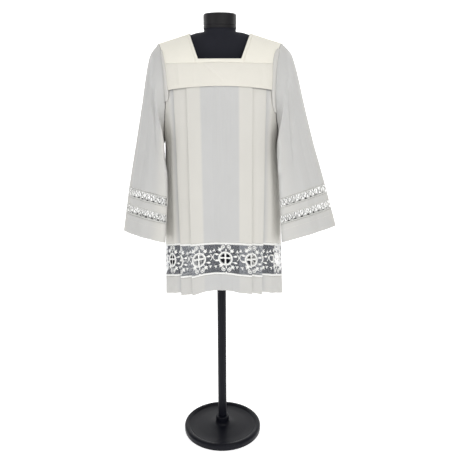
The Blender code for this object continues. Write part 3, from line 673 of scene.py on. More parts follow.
def facing_surface():
    """Mitred strip round the neck as a closed band: row 0 at the opening, row 1 outside."""
    half = 12
    along = 60
    width = FACING_WIDTH / SHOULDER_TIP_X
    inner, outer = [], []

    def front(face, way):
        for i in range(-half, half + 1):
            part = way * i / half
            t = part * CORNER_T
            inner.append(yoke_points(t, neck_angle(t), face))
            t = part * (CORNER_T + width)
            outer.append(yoke_points(t, seam_angle(t), face))

    def edge(side, forwards):
        for i in range(1, along):
            part = i / along if forwards else 1 - i / along
            angle = np.array(CORNER_ANGLE + (math.pi - 2 * CORNER_ANGLE) * part)
            inner.append(over_shoulder(side * neck_t(angle), angle))
            t = neck_t(half_turn(part, NECK_SIDE_T)) + width
            outer.append(over_shoulder(side * t, half_turn(part, t)))

    front(-1, 1)
    edge(1, True)
    front(1, -1)
    edge(-1, False)
    inner, outer = np.array(inner), np.array(outer)
    rows = 7
    parts = np.linspace(0.0, 1.0, rows)[:, None, None]
    points = inner + (outer - inner) * parts
    points = np.concatenate([points, points[:, :1]], axis=1)
    runs = np.linalg.norm(np.diff(points[rows // 2], axis=0), axis=1)
    u = np.concatenate(([0.0], np.cumsum(runs)))
    surface = Surface(points, u, parts.ravel() * FACING_WIDTH, wrap=True)
    plump = 0.0007 * np.sin(math.pi * np.linspace(0, 1, rows)) ** 0.6 + 0.0003
    return surface.pushed(np.repeat(plump[:, None], len(u), axis=1))


# ---------------------------------------------------------------- sleeves
SLEEVE_COLUMNS = 160


def armhole_loop(side):
    table = PLEATS_RIGHT if side > 0 else PLEATS_LEFT
    last = np.array([float(len(pleat_stations(table, 0.0)) - 1)])
    angle = np.linspace(math.pi / 2, 0.0, 40)
    loop = [yoke_points(np.full(40, float(side)), angle, -1)]
    for down in np.linspace(0.01, UNDERARM_DOWN, 24):
        loop.append(half_row(table, side, down, last, -1, 0.0)[0])
    return np.concatenate(loop)


def by_length(points, parts):
    """Points at shares of the length of a polyline, and its length."""
    runs = np.linalg.norm(np.diff(points, axis=0), axis=1)
    length = np.concatenate(([0.0], np.cumsum(runs)))
    wanted = np.asarray(parts) * length[-1]
    places = [np.interp(wanted, length, points[:, k]) for k in range(3)]
    return np.stack(places, axis=1), length[-1]


def first_ring(side, parts):
    folded = np.where(parts <= 0.5, parts, 1.0 - parts)
    points, _ = by_length(armhole_loop(side), folded * 2)
    gap = SLEEVE_START + SLEEVE_UNDERARM * np.abs(np.sin(math.pi * parts)) ** 0.7
    points[:, 0] += side * gap
    points[:, 1] = np.where(parts <= 0.5, points[:, 1], -points[:, 1])
    return points


def sleeve_ring(side, row, parts):
    """One ring at a row number: part 0 is the outer line, 0.25 the front."""
    table = np.array(SLEEVE_RIGHT if side > 0 else SLEEVE_LEFT)
    if row < LACE_ROW:
        upper = table[:LACE_ROW + 1]
        values = smooth(np.array(float(row)), np.arange(len(upper)), upper)
    else:
        values = table[LACE_ROW] + (table[CUFF_ROW] - table[LACE_ROW]) * (row - LACE_ROW)
    sizes = dict(zip(SLEEVE_COLUMN_NAMES, values))
    angle = np.linspace(0.0, 2 * math.pi, 721)
    power = 2.0 / SLEEVE_SQUARENESS
    turned = np.cos(angle + sizes["lean"])
    cosine = np.sign(turned) * np.abs(turned) ** power
    sine = np.sign(np.sin(angle)) * np.abs(np.sin(angle)) ** power
    centre_x = (sizes["outer_x"] + sizes["inner_x"]) / 2
    centre_z = (sizes["outer_z"] + sizes["inner_z"]) / 2
    reach_x = (sizes["outer_x"] - sizes["inner_x"]) / 2
    reach_z = (sizes["outer_z"] - sizes["inner_z"]) / 2
    bump = sizes["fold"] * bell(angle - FOLD_ANGLE, FOLD_SPREAD)
    points = np.stack([side * (centre_x + reach_x * cosine),
                       sizes["centre_y"] - sizes["half_depth"] * sine - bump,
                       centre_z + reach_z * cosine + sizes["front_rise"] * sine], axis=1)
    return by_length(points, parts)


def band_row(distance):
    return LACE_ROW + (CUFF_ROW - LACE_ROW) * distance / CUFF_LENGTH


# below the armhole the sleeve's front edge hangs over the body
DRAPE_IN = 0.016         # how far it moves towards the body
DRAPE_FORWARD = 0.005
DRAPE_ROW = 0.6          # row where it moves most, and how many rows it fades over
DRAPE_ROWS = 1.2
DRAPE_PART = 0.43        # share of the ring where it moves most, and how far round it fades
DRAPE_PARTS = 0.100
LEAN_TURN = 0.16         # share of a ring that its outer line moves back for a lean of 1
SLEEVE_FOLD_COLUMNS = ("row_start", "part_start", "row_end", "part_end", "width", "height")
SLEEVE_FOLDS = {         # long soft folds: rows count down the sleeve, part runs round it
    -1: ((-0.4, 0.175, 3.4, 0.285, 0.015, 0.0060),
         (0.2, 0.235, 4.6, 0.360, 0.013, -0.0055),
         (1.0, 0.110, 8.6, 0.150, 0.030, 0.0045),
         (2.0, 0.060, 8.8, 0.075, 0.024, -0.0030),
         (2.5, 0.215, 9.0, 0.235, 0.026, -0.0040),
         (4.0, 0.300, 9.0, 0.310, 0.030, 0.0035),
         (0.5, 0.800, 6.0, 0.700, 0.020, 0.0050),
         (1.0, 0.740, 7.0, 0.640, 0.018, -0.0045),
         (2.0, 0.900, 9.0, 0.870, 0.032, 0.0040),
         (3.0, 0.800, 9.0, 0.780, 0.028, -0.0035)),
    1: ((-0.4, 0.170, 4.0, 0.270, 0.014, 0.0062),
        (0.2, 0.228, 5.2, 0.345, 0.012, -0.0055),
        (0.8, 0.115, 8.4, 0.135, 0.028, 0.0042),
        (2.4, 0.055, 9.0, 0.080, 0.022, -0.0026),
        (3.0, 0.205, 9.0, 0.225, 0.028, -0.0042),
        (4.4, 0.290, 9.0, 0.300, 0.028, 0.0034),
        (0.5, 0.810, 6.0, 0.710, 0.020, 0.0050),
        (1.2, 0.745, 7.0, 0.650, 0.018, -0.0042),
        (2.2, 0.905, 9.0, 0.880, 0.030, 0.0038),
        (3.2, 0.805, 9.0, 0.790, 0.028, -0.0034)),
}


def sleeve_push(side, row, parts):
    """How far the folds stand out round one ring."""
    total = np.zeros_like(parts)
    for values in SLEEVE_FOLDS[side]:
        fold = dict(zip(SLEEVE_FOLD_COLUMNS, values))
        reach = fold["row_end"] - fold["row_start"]
        along = (row - fold["row_start"]) / reach
        centre = fold["part_start"] + (fold["part_end"] - fold["part_start"]) * along
        fade = ramp(along, 0.0, 0.18) * (1 - ramp(along, 0.72, 1.0))
        away = (parts - centre + 0.5) % 1.0 - 0.5
        total += fold["height"] * fade * bell(away, fold["width"])
    return total * ramp(row, -1.0, 0.3) * (1 - bell(parts % 1.0 - 0.5, 0.08))


def ring_turn(side, row):
    """Share of a ring between its first point and its outer line."""
    lean = column(SLEEVE_RIGHT if side > 0 else SLEEVE_LEFT, SLEEVE_COLUMN_NAMES, "lean")
    return LEAN_TURN * float(np.interp(row, np.arange(-1, len(lean)), [0.0, *lean]))


def sleeve_surface(side, rows, spread, shift=0.0):
    """Closed surface of a sleeve between row numbers; row -1 is the armhole.

    Its columns start on the outer line, or a share of a ring further round.
    """
    parts = np.linspace(0.0, 1.0, SLEEVE_COLUMNS + 1) + shift

    def turned(row):
        return (parts - ring_turn(side, row)) % 1.0

    rings = []
    base = [first_ring(side, parts)]
    base += [sleeve_ring(side, k, turned(k))[0] for k in range(4)]
    keys = np.array([-1.0, 0.0, 1.0, 2.0, 3.0])
    for row in rows:
        if row < 2.0:
            rings.append(smooth(np.array([float(row)]), keys, np.array(base))[0])
        else:
            rings.append(sleeve_ring(side, row, turned(row))[0])
    points = np.array(rings)
    rows = np.array(rows)
    drape = np.outer(bell(rows - DRAPE_ROW, DRAPE_ROWS) * ramp(rows, -1.0, 0.0),
                     bell(parts - DRAPE_PART, DRAPE_PARTS))
    points[:, :, 0] -= side * DRAPE_IN * drape
    points[:, :, 1] -= DRAPE_FORWARD * drape
    push = np.array([sleeve_push(side, row, parts) for row in rows])
    length = float(np.mean([sleeve_ring(side, max(row, 0), parts)[1] for row in rows]))
    u = (parts - shift) * length
    if side > 0:
        points, push = points[:, ::-1], push[:, ::-1]
    return Surface(points, u, spread, wrap=True).pushed(push), length


ARMHOLE_FOLD = {         # width of the fold lying over the yoke at each share of its length
    -1: ((0.0, 0.30, 0.60, 0.90, 1.0), (0.0040, 0.0075, 0.0115, 0.0155, 0.0120)),
    1: ((0.0, 0.12, 0.60, 0.92, 1.0), (0.0060, 0.0125, 0.0135, 0.0130, 0.0095)),
}
ARMHOLE_FOLD_TOP = {-1: 1.02, 1: 1.05}          # angle up the yoke where it starts
ARMHOLE_FOLD_END = {-1: 0.036, 1: 0.075}        # distance below the yoke seam where it ends
FOLD_ACROSS = (-0.003, 0.25, 0.60, 0.88, 1.0, 1.02, 0.94)
FOLD_LIFT = (0.0030, 0.0052, 0.0050, 0.0042, 0.0030, 0.0016, 0.0004)


def armhole_fold(side):
    """Soft fold of the sleeve's head that lies over the end of the yoke."""
    shares, widths = ARMHOLE_FOLD[side]
    on_yoke = np.linspace(ARMHOLE_FOLD_TOP[side], 0.0, 40)
    below = np.linspace(0.0, ARMHOLE_FOLD_END[side], 14)[1:]
    across = np.array(FOLD_ACROSS)
    rows = []
    total = len(on_yoke) + len(below)
    for number in range(total):
        width = float(smooth(number / (total - 1), shares, widths))
        inwards = np.where(across < 0, across, across * width)
        if number < len(on_yoke):
            t = 1.0 - inwards / YOKE_REACH
            rows.append(yoke_points(side * t, np.full(len(across), on_yoke[number]), -1))
        else:
            down = float(below[number - len(on_yoke)])
            x, y = outline_place(down, outline_reach(down) - inwards, -(WALL + SEAM))
            z = YOKE_SEAM_Z - down - drop(down, outline_reach(down) - inwards)
            rows.append(np.stack([side * x + HEM_SWAY * down / HEM_DOWN, -y, z], axis=1))
    points = np.array(rows)
    lift = np.repeat(np.array(FOLD_LIFT)[None], total, axis=0)
    lift *= ramp(np.arange(total), -3.0, 6.0)[:, None]
    if side > 0:
        points, lift = points[:, ::-1], lift[:, ::-1]
    runs = np.linalg.norm(np.diff(points[:, 3], axis=0), axis=1)
    spread = np.concatenate(([0.0], np.cumsum(runs)))
    return Surface(points, np.linspace(0.0, 0.016, len(across)), spread).pushed(lift)


# ---------------------------------------------------------------- lace, drawn flat
class Drawing:
    """Raised threads and cut cloth drawn flat, collected as one mesh."""

    def __init__(self):
        self.flat = []           # u, v and lift of each point
        self.faces = []
        self.inner = []          # numbers of the faces that lie against the surface; they take the painted shade material
        self.count = 0

    def add(self, points, faces, inner):
        self.flat.append(np.asarray(points, float))
        self.inner += [len(self.faces) + i for i in inner]
        self.faces += [tuple(self.count + i for i in face) for face in faces]
        self.count += len(points)

    def stroke(self, line, width, height, closed=False):
        """A flat-bottomed thread along a line; width may change from point to point."""
        line = np.asarray(line, float)
        number = len(line)
        widths = np.broadcast_to(np.asarray(width, float), (number,))
        if closed:
            run = np.roll(line, -1, axis=0) - np.roll(line, 1, axis=0)
        else:
            run = np.gradient(line, axis=0)
        run /= np.maximum(np.linalg.norm(run, axis=1, keepdims=True), 1e-9)
        across = np.stack([-run[:, 1], run[:, 0]], axis=1) * widths[:, None] / 2
        rise = height * np.clip(widths / np.max(widths), 0.35, 1.0)
        zero = np.zeros(number)
        profile = [np.column_stack([line + across, zero]),
                   np.column_stack([line + across * 0.45, rise]),
                   np.column_stack([line - across * 0.45, rise]),
                   np.column_stack([line - across, zero])]
        points = np.stack(profile, axis=1).reshape(-1, 3)
        faces = []
        spans = number if closed else number - 1
        for i in range(spans):
            j = (i + 1) % number
            for k in range(4):
                m = (k + 1) % 4
                faces.append((i * 4 + k, j * 4 + k, j * 4 + m, i * 4 + m))
        if not closed:
            faces.append((0, 1, 2, 3))
            last = (number - 1) * 4
            faces.append((last + 3, last + 2, last + 1, last))
        self.add(points, faces, range(3, spans * 4, 4))

    def leaf(self, centre, angle, length, width, height):
        """A pointed satin-stitch leaf."""
        steps = np.linspace(0.0, 1.0, 8)
        along = centre[0] + np.cos(angle) * length * steps
        up = centre[1] + np.sin(angle) * length * steps
        widths = width * (np.sin(math.pi * np.clip(steps, 0.04, 0.96)) ** 0.7)
        self.stroke(np.column_stack([along, up]), widths, height)

    def disc(self, centre, radius, height, sides=12):
        angle = np.linspace(0, 2 * math.pi, sides, endpoint=False)
        rings = []
        for share, lift in ((1.0, 0.0), (0.75, height * 0.8), (0.0, height)):
            rings.append(np.column_stack([centre[0] + share * radius * np.cos(angle),
                                          centre[1] + share * radius * np.sin(angle),
                                          np.full(sides, lift)]))
        points = np.concatenate([rings[0], rings[1], rings[2][:1]])
        faces = []
        for i in range(sides):
            j = (i + 1) % sides
            faces.append((i, j, sides + j, sides + i))
            faces.append((sides + i, sides + j, 2 * sides))
        faces.append(tuple(range(sides - 1, -1, -1)))
        self.add(points, faces, [len(faces) - 1])

    def arc(self, centre, radius, start, end, width, height, steps=12):
        """Part of a circle, angles in degrees."""
        angle = np.radians(np.linspace(start, end, steps + 1))
        line = np.column_stack([centre[0] + radius * np.cos(angle),
                                centre[1] + radius * np.sin(angle)])
        self.stroke(line, width, height)

    def ring(self, centre, across, tall, width, height, steps=28):
        angle = np.linspace(0, 2 * math.pi, steps, endpoint=False)
        line = np.column_stack([centre[0] + across * np.cos(angle),
                                centre[1] + tall * np.sin(angle)])
        self.stroke(line, width, height, closed=True)

    def spiral(self, centre, radius, start, turns, width, height, way=1, steps=22):
        part = np.linspace(0.0, 1.0, steps)
        angle = math.radians(start) + way * 2 * math.pi * turns * part
        reach = radius * (1 - 0.80 * part)
        line = np.column_stack([centre[0] + reach * np.cos(angle),
                                centre[1] + reach * np.sin(angle)])
        self.stroke(line, width * (1 - 0.25 * part), height)

    def laid(self, name, surface, lift, outside, inside):
        """The drawing as a mesh on a surface."""
        flat = np.concatenate(self.flat)
        places = surface.place(flat[:, 0], flat[:, 1], flat[:, 2] + lift)
        mesh = bpy.data.meshes.new(name)
        mesh.from_pydata(places.tolist(), [], self.faces)
        flat_map(mesh, flat[corner_vertices(mesh), :2])
        mesh.shade_smooth()
        mesh.set_sharp_from_angle(angle=math.radians(55))
        item = link(name, mesh, outside, inside)
        # faces against the cloth take the second material, a dark painted shade
        for number in self.inner:
            mesh.polygons[number].material_index = 1
        return item


NET_CELL = 0.0040        # across the flats of the net's six-sided cells
NET_THREAD = 0.00064
STITCH_HEIGHT = 0.0007   # how far the satin stitch stands off the net
RING_RADIUS = 0.0240     # middle of the medallion's woven ring
RING_INNER = 0.0200
LACE_BORDER = 0.0058     # raised white borders of the hem lace
SCALLOP_PITCH = 0.0046
SCALLOP_DEPTH = 0.0013
EYELET_OUT = 0.0300      # round openings at the corners of a medallion
EYELET_UP = 0.0235
EYELET_RADIUS = 0.0026


def net_ground(low, high, left, right, is_open):
    """Six-sided net between two levels as flat points and faces; is_open leaves cells out."""
    pitch_v = NET_CELL * math.sqrt(3) / 2
    radius = NET_CELL / math.sqrt(3)
    hole = radius * (1 - NET_THREAD / NET_CELL * 1.1)
    angle = np.radians(np.arange(6) * 60 + 30)
    corner = np.column_stack([np.cos(angle), np.sin(angle)])
    rows = int((high - low) / pitch_v) + 1
    columns = int((right - left) / NET_CELL) + 1
    r, c = np.meshgrid(np.arange(rows), np.arange(columns), indexing="ij")
    centre_u = left + (c + 0.5 * (r % 2)) * NET_CELL
    centre_v = low + r * pitch_v
    centres = np.column_stack([centre_u.ravel(), centre_v.ravel()])
    kept = centres[~is_open(centres)]
    outer = kept[:, None, :] + corner * radius
    inner = kept[:, None, :] + corner * hole
    outer[..., 0] = np.clip(outer[..., 0], left, right)
    inner[..., 0] = np.clip(inner[..., 0], left, right)
    outer[..., 1] = np.clip(outer[..., 1], low, high)
    inner[..., 1] = np.clip(inner[..., 1], low, high)
    flat = np.concatenate([outer, inner], axis=1)
    start = np.arange(len(kept))[:, None, None] * 12
    i = np.arange(6)
    j = (i + 1) % 6
    cell = np.stack([i, i + 6, j + 6, j], axis=1)[None]
    return flat.reshape(-1, 2), (start + cell).reshape(-1, 4)


def medallion_centres(left, right):
    first = math.ceil((left - MEDALLION_SHIFT) / MEDALLION_PITCH - 0.45)
    last = math.floor((right - MEDALLION_SHIFT) / MEDALLION_PITCH + 0.45)
    return [MEDALLION_SHIFT + k * MEDALLION_PITCH for k in range(first, last + 1)]


MAPLE_LEAVES = ((-21.5, -36.5), (26.0, -31.5), (-18.5, 28.5), (28.0, 33.5))
BUDS = ((-31.5, -15.5), (37.0, -9.5), (-31.0, 7.5), (36.5, 14.0))
SMALL_LEAVES = ((-39.0, -28.5), (-34.0, 28.5), (41.5, -25.0), (40.0, 27.0))
SCROLLS = ((-6.8, -43.5, -1), (12.0, -43.5, 1), (-6.8, 40.5, -1), (12.0, 40.5, 1))


def draw_medallion(lace, u, v, height):
    """Ring round a plain cross, with scrolls above and below and leaves at the sides, in mm."""
    mm = 0.001
    lace.ring((u, v), RING_RADIUS, RING_RADIUS, 5.0 * mm, height, 44)
    lace.ring((u, v), RING_INNER, RING_INNER, 1.4 * mm, height * 0.7, 36)
    arm = np.linspace(-1.0, 1.0, 13)
    widths = (4.2 + 4.2 * np.abs(arm) ** 2.2) * mm
    reach = RING_INNER - 0.2 * mm
    lace.stroke(np.column_stack([u + arm * 0, v + arm * reach]), widths, height)
    lace.stroke(np.column_stack([u + arm * reach * 0.92, v - 2.5 * mm + arm * 0]), widths, height)
    lace.disc((u, v - 2.5 * mm), 5.4 * mm, height * 1.15, 14)
    for x, y in MAPLE_LEAVES:
        away = math.atan2(y, x)
        root = (u + (x - 5.5 * math.cos(away)) * mm, v + (y - 5.5 * math.sin(away)) * mm)
        for turn, length in ((-98, 6.5), (-52, 9.6), (0, 12.0), (52, 9.6), (98, 6.5)):
            lace.leaf(root, away + math.radians(turn), length * mm, 4.6 * mm, height)
        stem = np.array([[math.cos(away) * RING_RADIUS, math.sin(away) * RING_RADIUS],
                         [x * mm - 5.0 * mm * math.cos(away), y * mm - 5.0 * mm * math.sin(away)]])
        lace.stroke(stem + (u, v), 2.0 * mm, height)
        lace.disc(root, 2.6 * mm, height, 10)
    for x, y in BUDS:
        away = math.atan2(y * 0.4, x)
        root = (u + (x - 7.0 * math.cos(away)) * mm, v + (y - 7.0 * math.sin(away)) * mm)
        lace.leaf(root, away, 14.0 * mm, 7.6 * mm, height * 1.1)
        lace.leaf(root, away, -4.5 * mm, 2.4 * mm, height)
    for x, y in SMALL_LEAVES:
        away = math.atan2(y, x)
        for turn in (-34, 34):
            lace.leaf((u + x * mm, v + y * mm), away + math.radians(turn), 8.5 * mm, 4.4 * mm,
                      height)
        lace.leaf((u + x * mm, v + y * mm), away + math.pi, 5.0 * mm, 2.4 * mm, height)
    for x, y, way in SCROLLS:
        up = -1 if y < 0 else 1
        lace.spiral((u + x * mm, v + y * mm), 8.3 * mm, -90 * up, 1.45, 3.2 * mm, height,
                    way=way * up, steps=26)
        lace.disc((u + x * mm, v + y * mm), 2.2 * mm, height, 10)
    for up in (-1, 1):
        lace.leaf((u + 2.6 * mm, v + up * 26.5 * mm), math.radians(90 * up), 11.0 * mm, 5.0 * mm,
                  height)
        lace.disc((u + 2.6 * mm, v + up * 52.0 * mm), 2.8 * mm, height, 10)
    for bow, centre, turn in ((1, -63.0, 0), (-1, -31.0, 180)):
        lace.arc((u + centre * mm, v - 6.0 * mm), 14.0 * mm, turn - 58, turn + 58, 2.6 * mm,
                 height, 12)
    lace.disc((u - 47.0 * mm, v - 6.0 * mm), 2.4 * mm, height, 10)


def border_lines(lace, low, high, left, right, height):
    """Raised white borders with a scalloped inner edge along the top and bottom."""
    number = int((right - left) / SCALLOP_PITCH)
    for edge, way in ((low, 1), (high, -1)):
        u = np.linspace(left, right, number * 2 + 1)
        wave = np.where(np.arange(len(u)) % 2 == 0, 0.0, SCALLOP_DEPTH)
        flat = np.zeros(len(u))
        lace.stroke(np.column_stack([u, edge + way * (LACE_BORDER + wave)]), 0.0014, height * 0.8)
        lace.stroke(np.column_stack([u, edge + way * LACE_BORDER / 2 + flat]), LACE_BORDER,
                    height * 0.8)
        lace.stroke(np.column_stack([u, edge + way * (LACE_BORDER - 0.0011) + flat]), 0.0013,
                    height * 1.3)


def hem_lace_pieces(face, materials):
    """Net, motifs and borders of one hem lace band."""
    word = "front" if face < 0 else "back"
    margin = 0.0020
    downs = np.linspace(LACE_TOP_DOWN - margin, LACE_END_DOWN + margin, 34)
    surface, _, width = pleated_surface(downs, face)
    left, right = float(surface.u[0]), float(surface.u[-1])
    low, high = LACE_TOP_DOWN + HALF_SEAM, LACE_END_DOWN - HALF_SEAM
    middle = (low + high) / 2
    centres = medallion_centres(left, right)

    def is_open(places):
        inside = np.zeros(len(places), bool)
        for centre in centres:
            inside |= np.hypot(places[:, 0] - centre, places[:, 1] - middle) < RING_INNER - 0.0008
            for side in (-1, 1):
                for up in (-1, 1):
                    near = np.hypot(places[:, 0] - centre - side * EYELET_OUT,
                                    places[:, 1] - middle - up * EYELET_UP)
                    inside |= near < EYELET_RADIUS
        return inside

    flat, cells = net_ground(low, high, left, right, is_open)
    lace = Drawing()
    for centre in centres:
        draw_medallion(lace, centre, middle, STITCH_HEIGHT)
    border_lines(lace, low, high, left, right, STITCH_HEIGHT)
    for part in lace.flat:
        part[:, 0] = np.clip(part[:, 0], left, right)
    motifs = lace.laid("lace_%s_embroidery" % word, surface, 0.0001, materials["lace"],
                       materials["lace_painted_shade_side"])
    places = surface.place(flat[:, 0], flat[:, 1], 0.0)
    mesh = bpy.data.meshes.new("lace_%s_net" % word)
    mesh.from_pydata(places.tolist(), [], cells.tolist())
    flat_map(mesh, flat[corner_vertices(mesh)])
    welded = bmesh.new()
    welded.from_mesh(mesh)
    bmesh.ops.remove_doubles(welded, verts=welded.verts, dist=0.00001)
    thin = [face for face in welded.faces if face.calc_area() < 1e-11]
    bmesh.ops.delete(welded, geom=thin, context="FACES")
    welded.to_mesh(mesh)
    welded.free()
    mesh.shade_smooth()
    net = link("lace_%s_net" % word, mesh, materials["net"])
    return surface, net, motifs, width


LADDER_EDGE = 0.0048


def draw_ladder(lace, left, number, pitch, low, high, height):
    """Ladder lace: ovals with a bar, crossings with a small rosette, woven borders."""
    middle = (low + high) / 2
    reach = (high - low) / 2 - LADDER_EDGE
    mm = 0.001
    for edge, way in ((low, 1), (high, -1)):
        u = np.linspace(left, left + number * pitch, number * 8 + 1)
        v = np.full(len(u), edge + way * LADDER_EDGE / 2)
        lace.stroke(np.column_stack([u, v]), LADDER_EDGE, height * 0.8)
        lace.stroke(np.column_stack([u, v + way * LADDER_EDGE * 0.42]), 1.1 * mm, height * 1.2)
        lace.stroke(np.column_stack([u, v - way * LADDER_EDGE * 0.30]), 1.1 * mm, height * 1.1)
    for k in range(number):
        cross = left + (k + 0.25) * pitch
        oval = left + (k + 0.75) * pitch
        lace.ring((oval, middle), 7.4 * mm, reach * 0.93, 2.0 * mm, height, 26)
        bar = np.linspace(-reach, reach, 5)
        lace.stroke(np.column_stack([np.full(5, oval), middle + bar]), 2.1 * mm, height)
        lace.disc((oval, middle), 1.9 * mm, height * 1.2, 10)
        for side in (-1, 1):
            for up in (-1, 1):
                t = np.linspace(0.0, 1.0, 6)
                bow = 0.9 * mm * np.sin(math.pi * t)
                leg_v = middle + up * (1.0 * mm + (reach - 1.0 * mm) * t) - up * bow
                leg = np.column_stack([cross + side * (1.0 * mm + 6.2 * mm * t), leg_v])
                lace.stroke(leg, 2.2 * mm, height)
        lace.ring((cross, middle), 2.0 * mm, 2.0 * mm, 1.5 * mm, height * 1.15, 12)


def ladder_pieces(side, word, band, materials):
    """Front and back halves of one ladder-lace insertion."""
    start, end = band["start"], band["end"]
    distances = np.linspace(start - 0.0015, end + 0.0015, 12)
    rows = [band_row(distance) for distance in distances]
    surface, length = sleeve_surface(side, rows, distances, ring_turn(side, LACE_ROW))
    pieces = []
    for back in (False, True):
        lace = Drawing()
        first_half = back if side < 0 else not back
        left = length / 2 if first_half else 0.0
        pitch = length / 2 / LACE_REPEATS
        draw_ladder(lace, left, LACE_REPEATS, pitch, start + HALF_SEAM, end - HALF_SEAM, 0.0009)
        name = "sleeve_%s_%s_%s" % (word, band["name"], "back" if back else "front")
        piece = lace.laid(name + "_threads", surface, -0.0004, materials["ladder"],
                          materials["lace_painted_shade_side"])
        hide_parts(name)
        pieces.append(piece)
    return pieces


# ---------------------------------------------------------------- materials
def shade(value):
    """An sRGB colour of 0 to 255 as a linear RGBA colour."""
    linear = [(c / 255 / 12.92) if c <= 10 else ((c / 255 + 0.055) / 1.055) ** 2.4 for c in value]
    return (*linear, 1.0)


class Nodes:
    """Short calls for building one material's tree."""

    def __init__(self, name):
        self.material = bpy.data.materials.new(name)
        self.material.use_nodes = True
        self.tree = self.material.node_tree
        self.shader = self.tree.nodes["Principled BSDF"]

    def new(self, kind, **settings):
        node = self.tree.nodes.new(kind)
        for key, value in settings.items():
            setattr(node, key, value)
        return node

    def wire(self, source, target):
        self.tree.links.new(source, target)

    def math(self, kind, first, second=None):
        node = self.new("ShaderNodeMath", operation=kind)
        for value, socket in ((first, node.inputs[0]), (second, node.inputs[1])):
            if hasattr(value, "links"):
                self.wire(value, socket)
            elif value is not None:
                socket.default_value = value
        return node.outputs[0]

    def flat_places(self):
        """Outputs u and v of the piece's own flat map, in metres."""
        uv = self.new("ShaderNodeUVMap", uv_map="flat")
        split = self.new("ShaderNodeSeparateXYZ")
        self.wire(uv.outputs["UV"], split.inputs[0])
        return split.outputs[0], split.outputs[1]

    def noise(self, vector, scale, detail, roughness=0.5):
        node = self.new("ShaderNodeTexNoise")
        node.inputs["Scale"].default_value = scale
        node.inputs["Detail"].default_value = detail
        node.inputs["Roughness"].default_value = roughness
        if vector is not None:
            self.wire(vector, node.inputs["Vector"])
        return node.outputs["Fac"]

    def joined(self, x, y):
        node = self.new("ShaderNodeCombineXYZ")
        self.wire(x, node.inputs[0])
        self.wire(y, node.inputs[1])
        return node.outputs[0]

    def object_places(self):
        return self.new("ShaderNodeTexCoord").outputs["Object"]

    def mixed(self, factor, first, second, kind="MIX"):
        node = self.new("ShaderNodeMix", data_type="RGBA", blend_type=kind)
        if hasattr(factor, "links"):
            self.wire(factor, node.inputs["Factor"])
        else:
            node.inputs["Factor"].default_value = factor
        for value, socket in ((first, node.inputs[6]), (second, node.inputs[7])):
            if hasattr(value, "links"):
                self.wire(value, socket)
            else:
                socket.default_value = value
        return node.outputs[2]

    def ranged(self, value, low, high):
        node = self.new("ShaderNodeMapRange")
        self.wire(value, node.inputs["Value"])
        node.inputs["To Min"].default_value = low
        node.inputs["To Max"].default_value = high
        return node.outputs[0]

    def bump(self, height, strength, distance):
        node = self.new("ShaderNodeBump")
        node.inputs["Strength"].default_value = strength
        node.inputs["Distance"].default_value = distance
        self.wire(height, node.inputs["Height"])
        self.wire(node.outputs[0], self.shader.inputs["Normal"])

    def set(self, **sockets):
        for name, value in sockets.items():
            self.shader.inputs[name.replace("_", " ")].default_value = value


def woven(name, single, layered, thread_pitch, sheen):
    """Plain-weave cloth; its tone runs from single cloth to cloth on cloth, and also carries
    painted light on the body's sides.
    """
    n = Nodes(name)
    u, v = n.flat_places()
    turn = 2 * math.pi / thread_pitch
    warp = n.math("SINE", n.math("MULTIPLY", u, turn))
    weft = n.math("SINE", n.math("MULTIPLY", v, turn))
    weave = n.math("MULTIPLY", warp, weft)
    slub_weft = n.noise(n.joined(n.math("MULTIPLY", u, 22.0), n.math("MULTIPLY", v, 620.0)), 1.0, 3)
    slub_warp = n.noise(n.joined(n.math("MULTIPLY", u, 620.0), n.math("MULTIPLY", v, 22.0)), 1.0, 3)
    slubs = n.math("ADD", slub_weft, slub_warp)
    cloud = n.noise(n.object_places(), 9.0, 4, 0.55)
    tone = n.new("ShaderNodeAttribute", attribute_name="tone")
    base = n.mixed(tone.outputs["Fac"], single, layered)
    base = n.mixed(0.35, base, n.ranged(slubs, 0.86, 1.0), "MULTIPLY")
    base = n.mixed(0.5, base, n.ranged(cloud, 0.90, 1.04), "MULTIPLY")
    n.wire(base, n.shader.inputs["Base Color"])
    rough = n.ranged(slubs, 0.72, 0.90)
    n.wire(rough, n.shader.inputs["Roughness"])
    n.set(Sheen_Weight=sheen, Sheen_Roughness=0.45, Specular_IOR_Level=0.22)
    height = n.math("ADD", n.math("MULTIPLY", weave, 0.35), n.math("MULTIPLY", slubs, 0.9))
    n.bump(height, 0.35, 0.00022)
    return n.material


def threads(name, colour, twist_pitch, roughness, sheen, depth):
    """Sewing and embroidery thread: fine ridges across the stitch and a soft sheen."""
    n = Nodes(name)
    u, v = n.flat_places()
    slant = n.math("ADD", n.math("MULTIPLY", u, 2 * math.pi / twist_pitch),
                   n.math("MULTIPLY", v, 1.4 * math.pi / twist_pitch))
    ridge = n.math("SINE", slant)
    fluff = n.noise(n.object_places(), 900.0, 2)
    # painted shade: the colour is darker in the grooves of the twist
    base = n.mixed(0.30, colour, n.ranged(ridge, 0.80, 1.0), "MULTIPLY")
    base = n.mixed(0.25, base, n.ranged(fluff, 0.80, 1.05), "MULTIPLY")
    n.wire(base, n.shader.inputs["Base Color"])
    n.set(Roughness=roughness, Sheen_Weight=sheen, Sheen_Roughness=0.4, Specular_IOR_Level=0.35)
    n.bump(ridge, 0.45, depth)
    return n.material


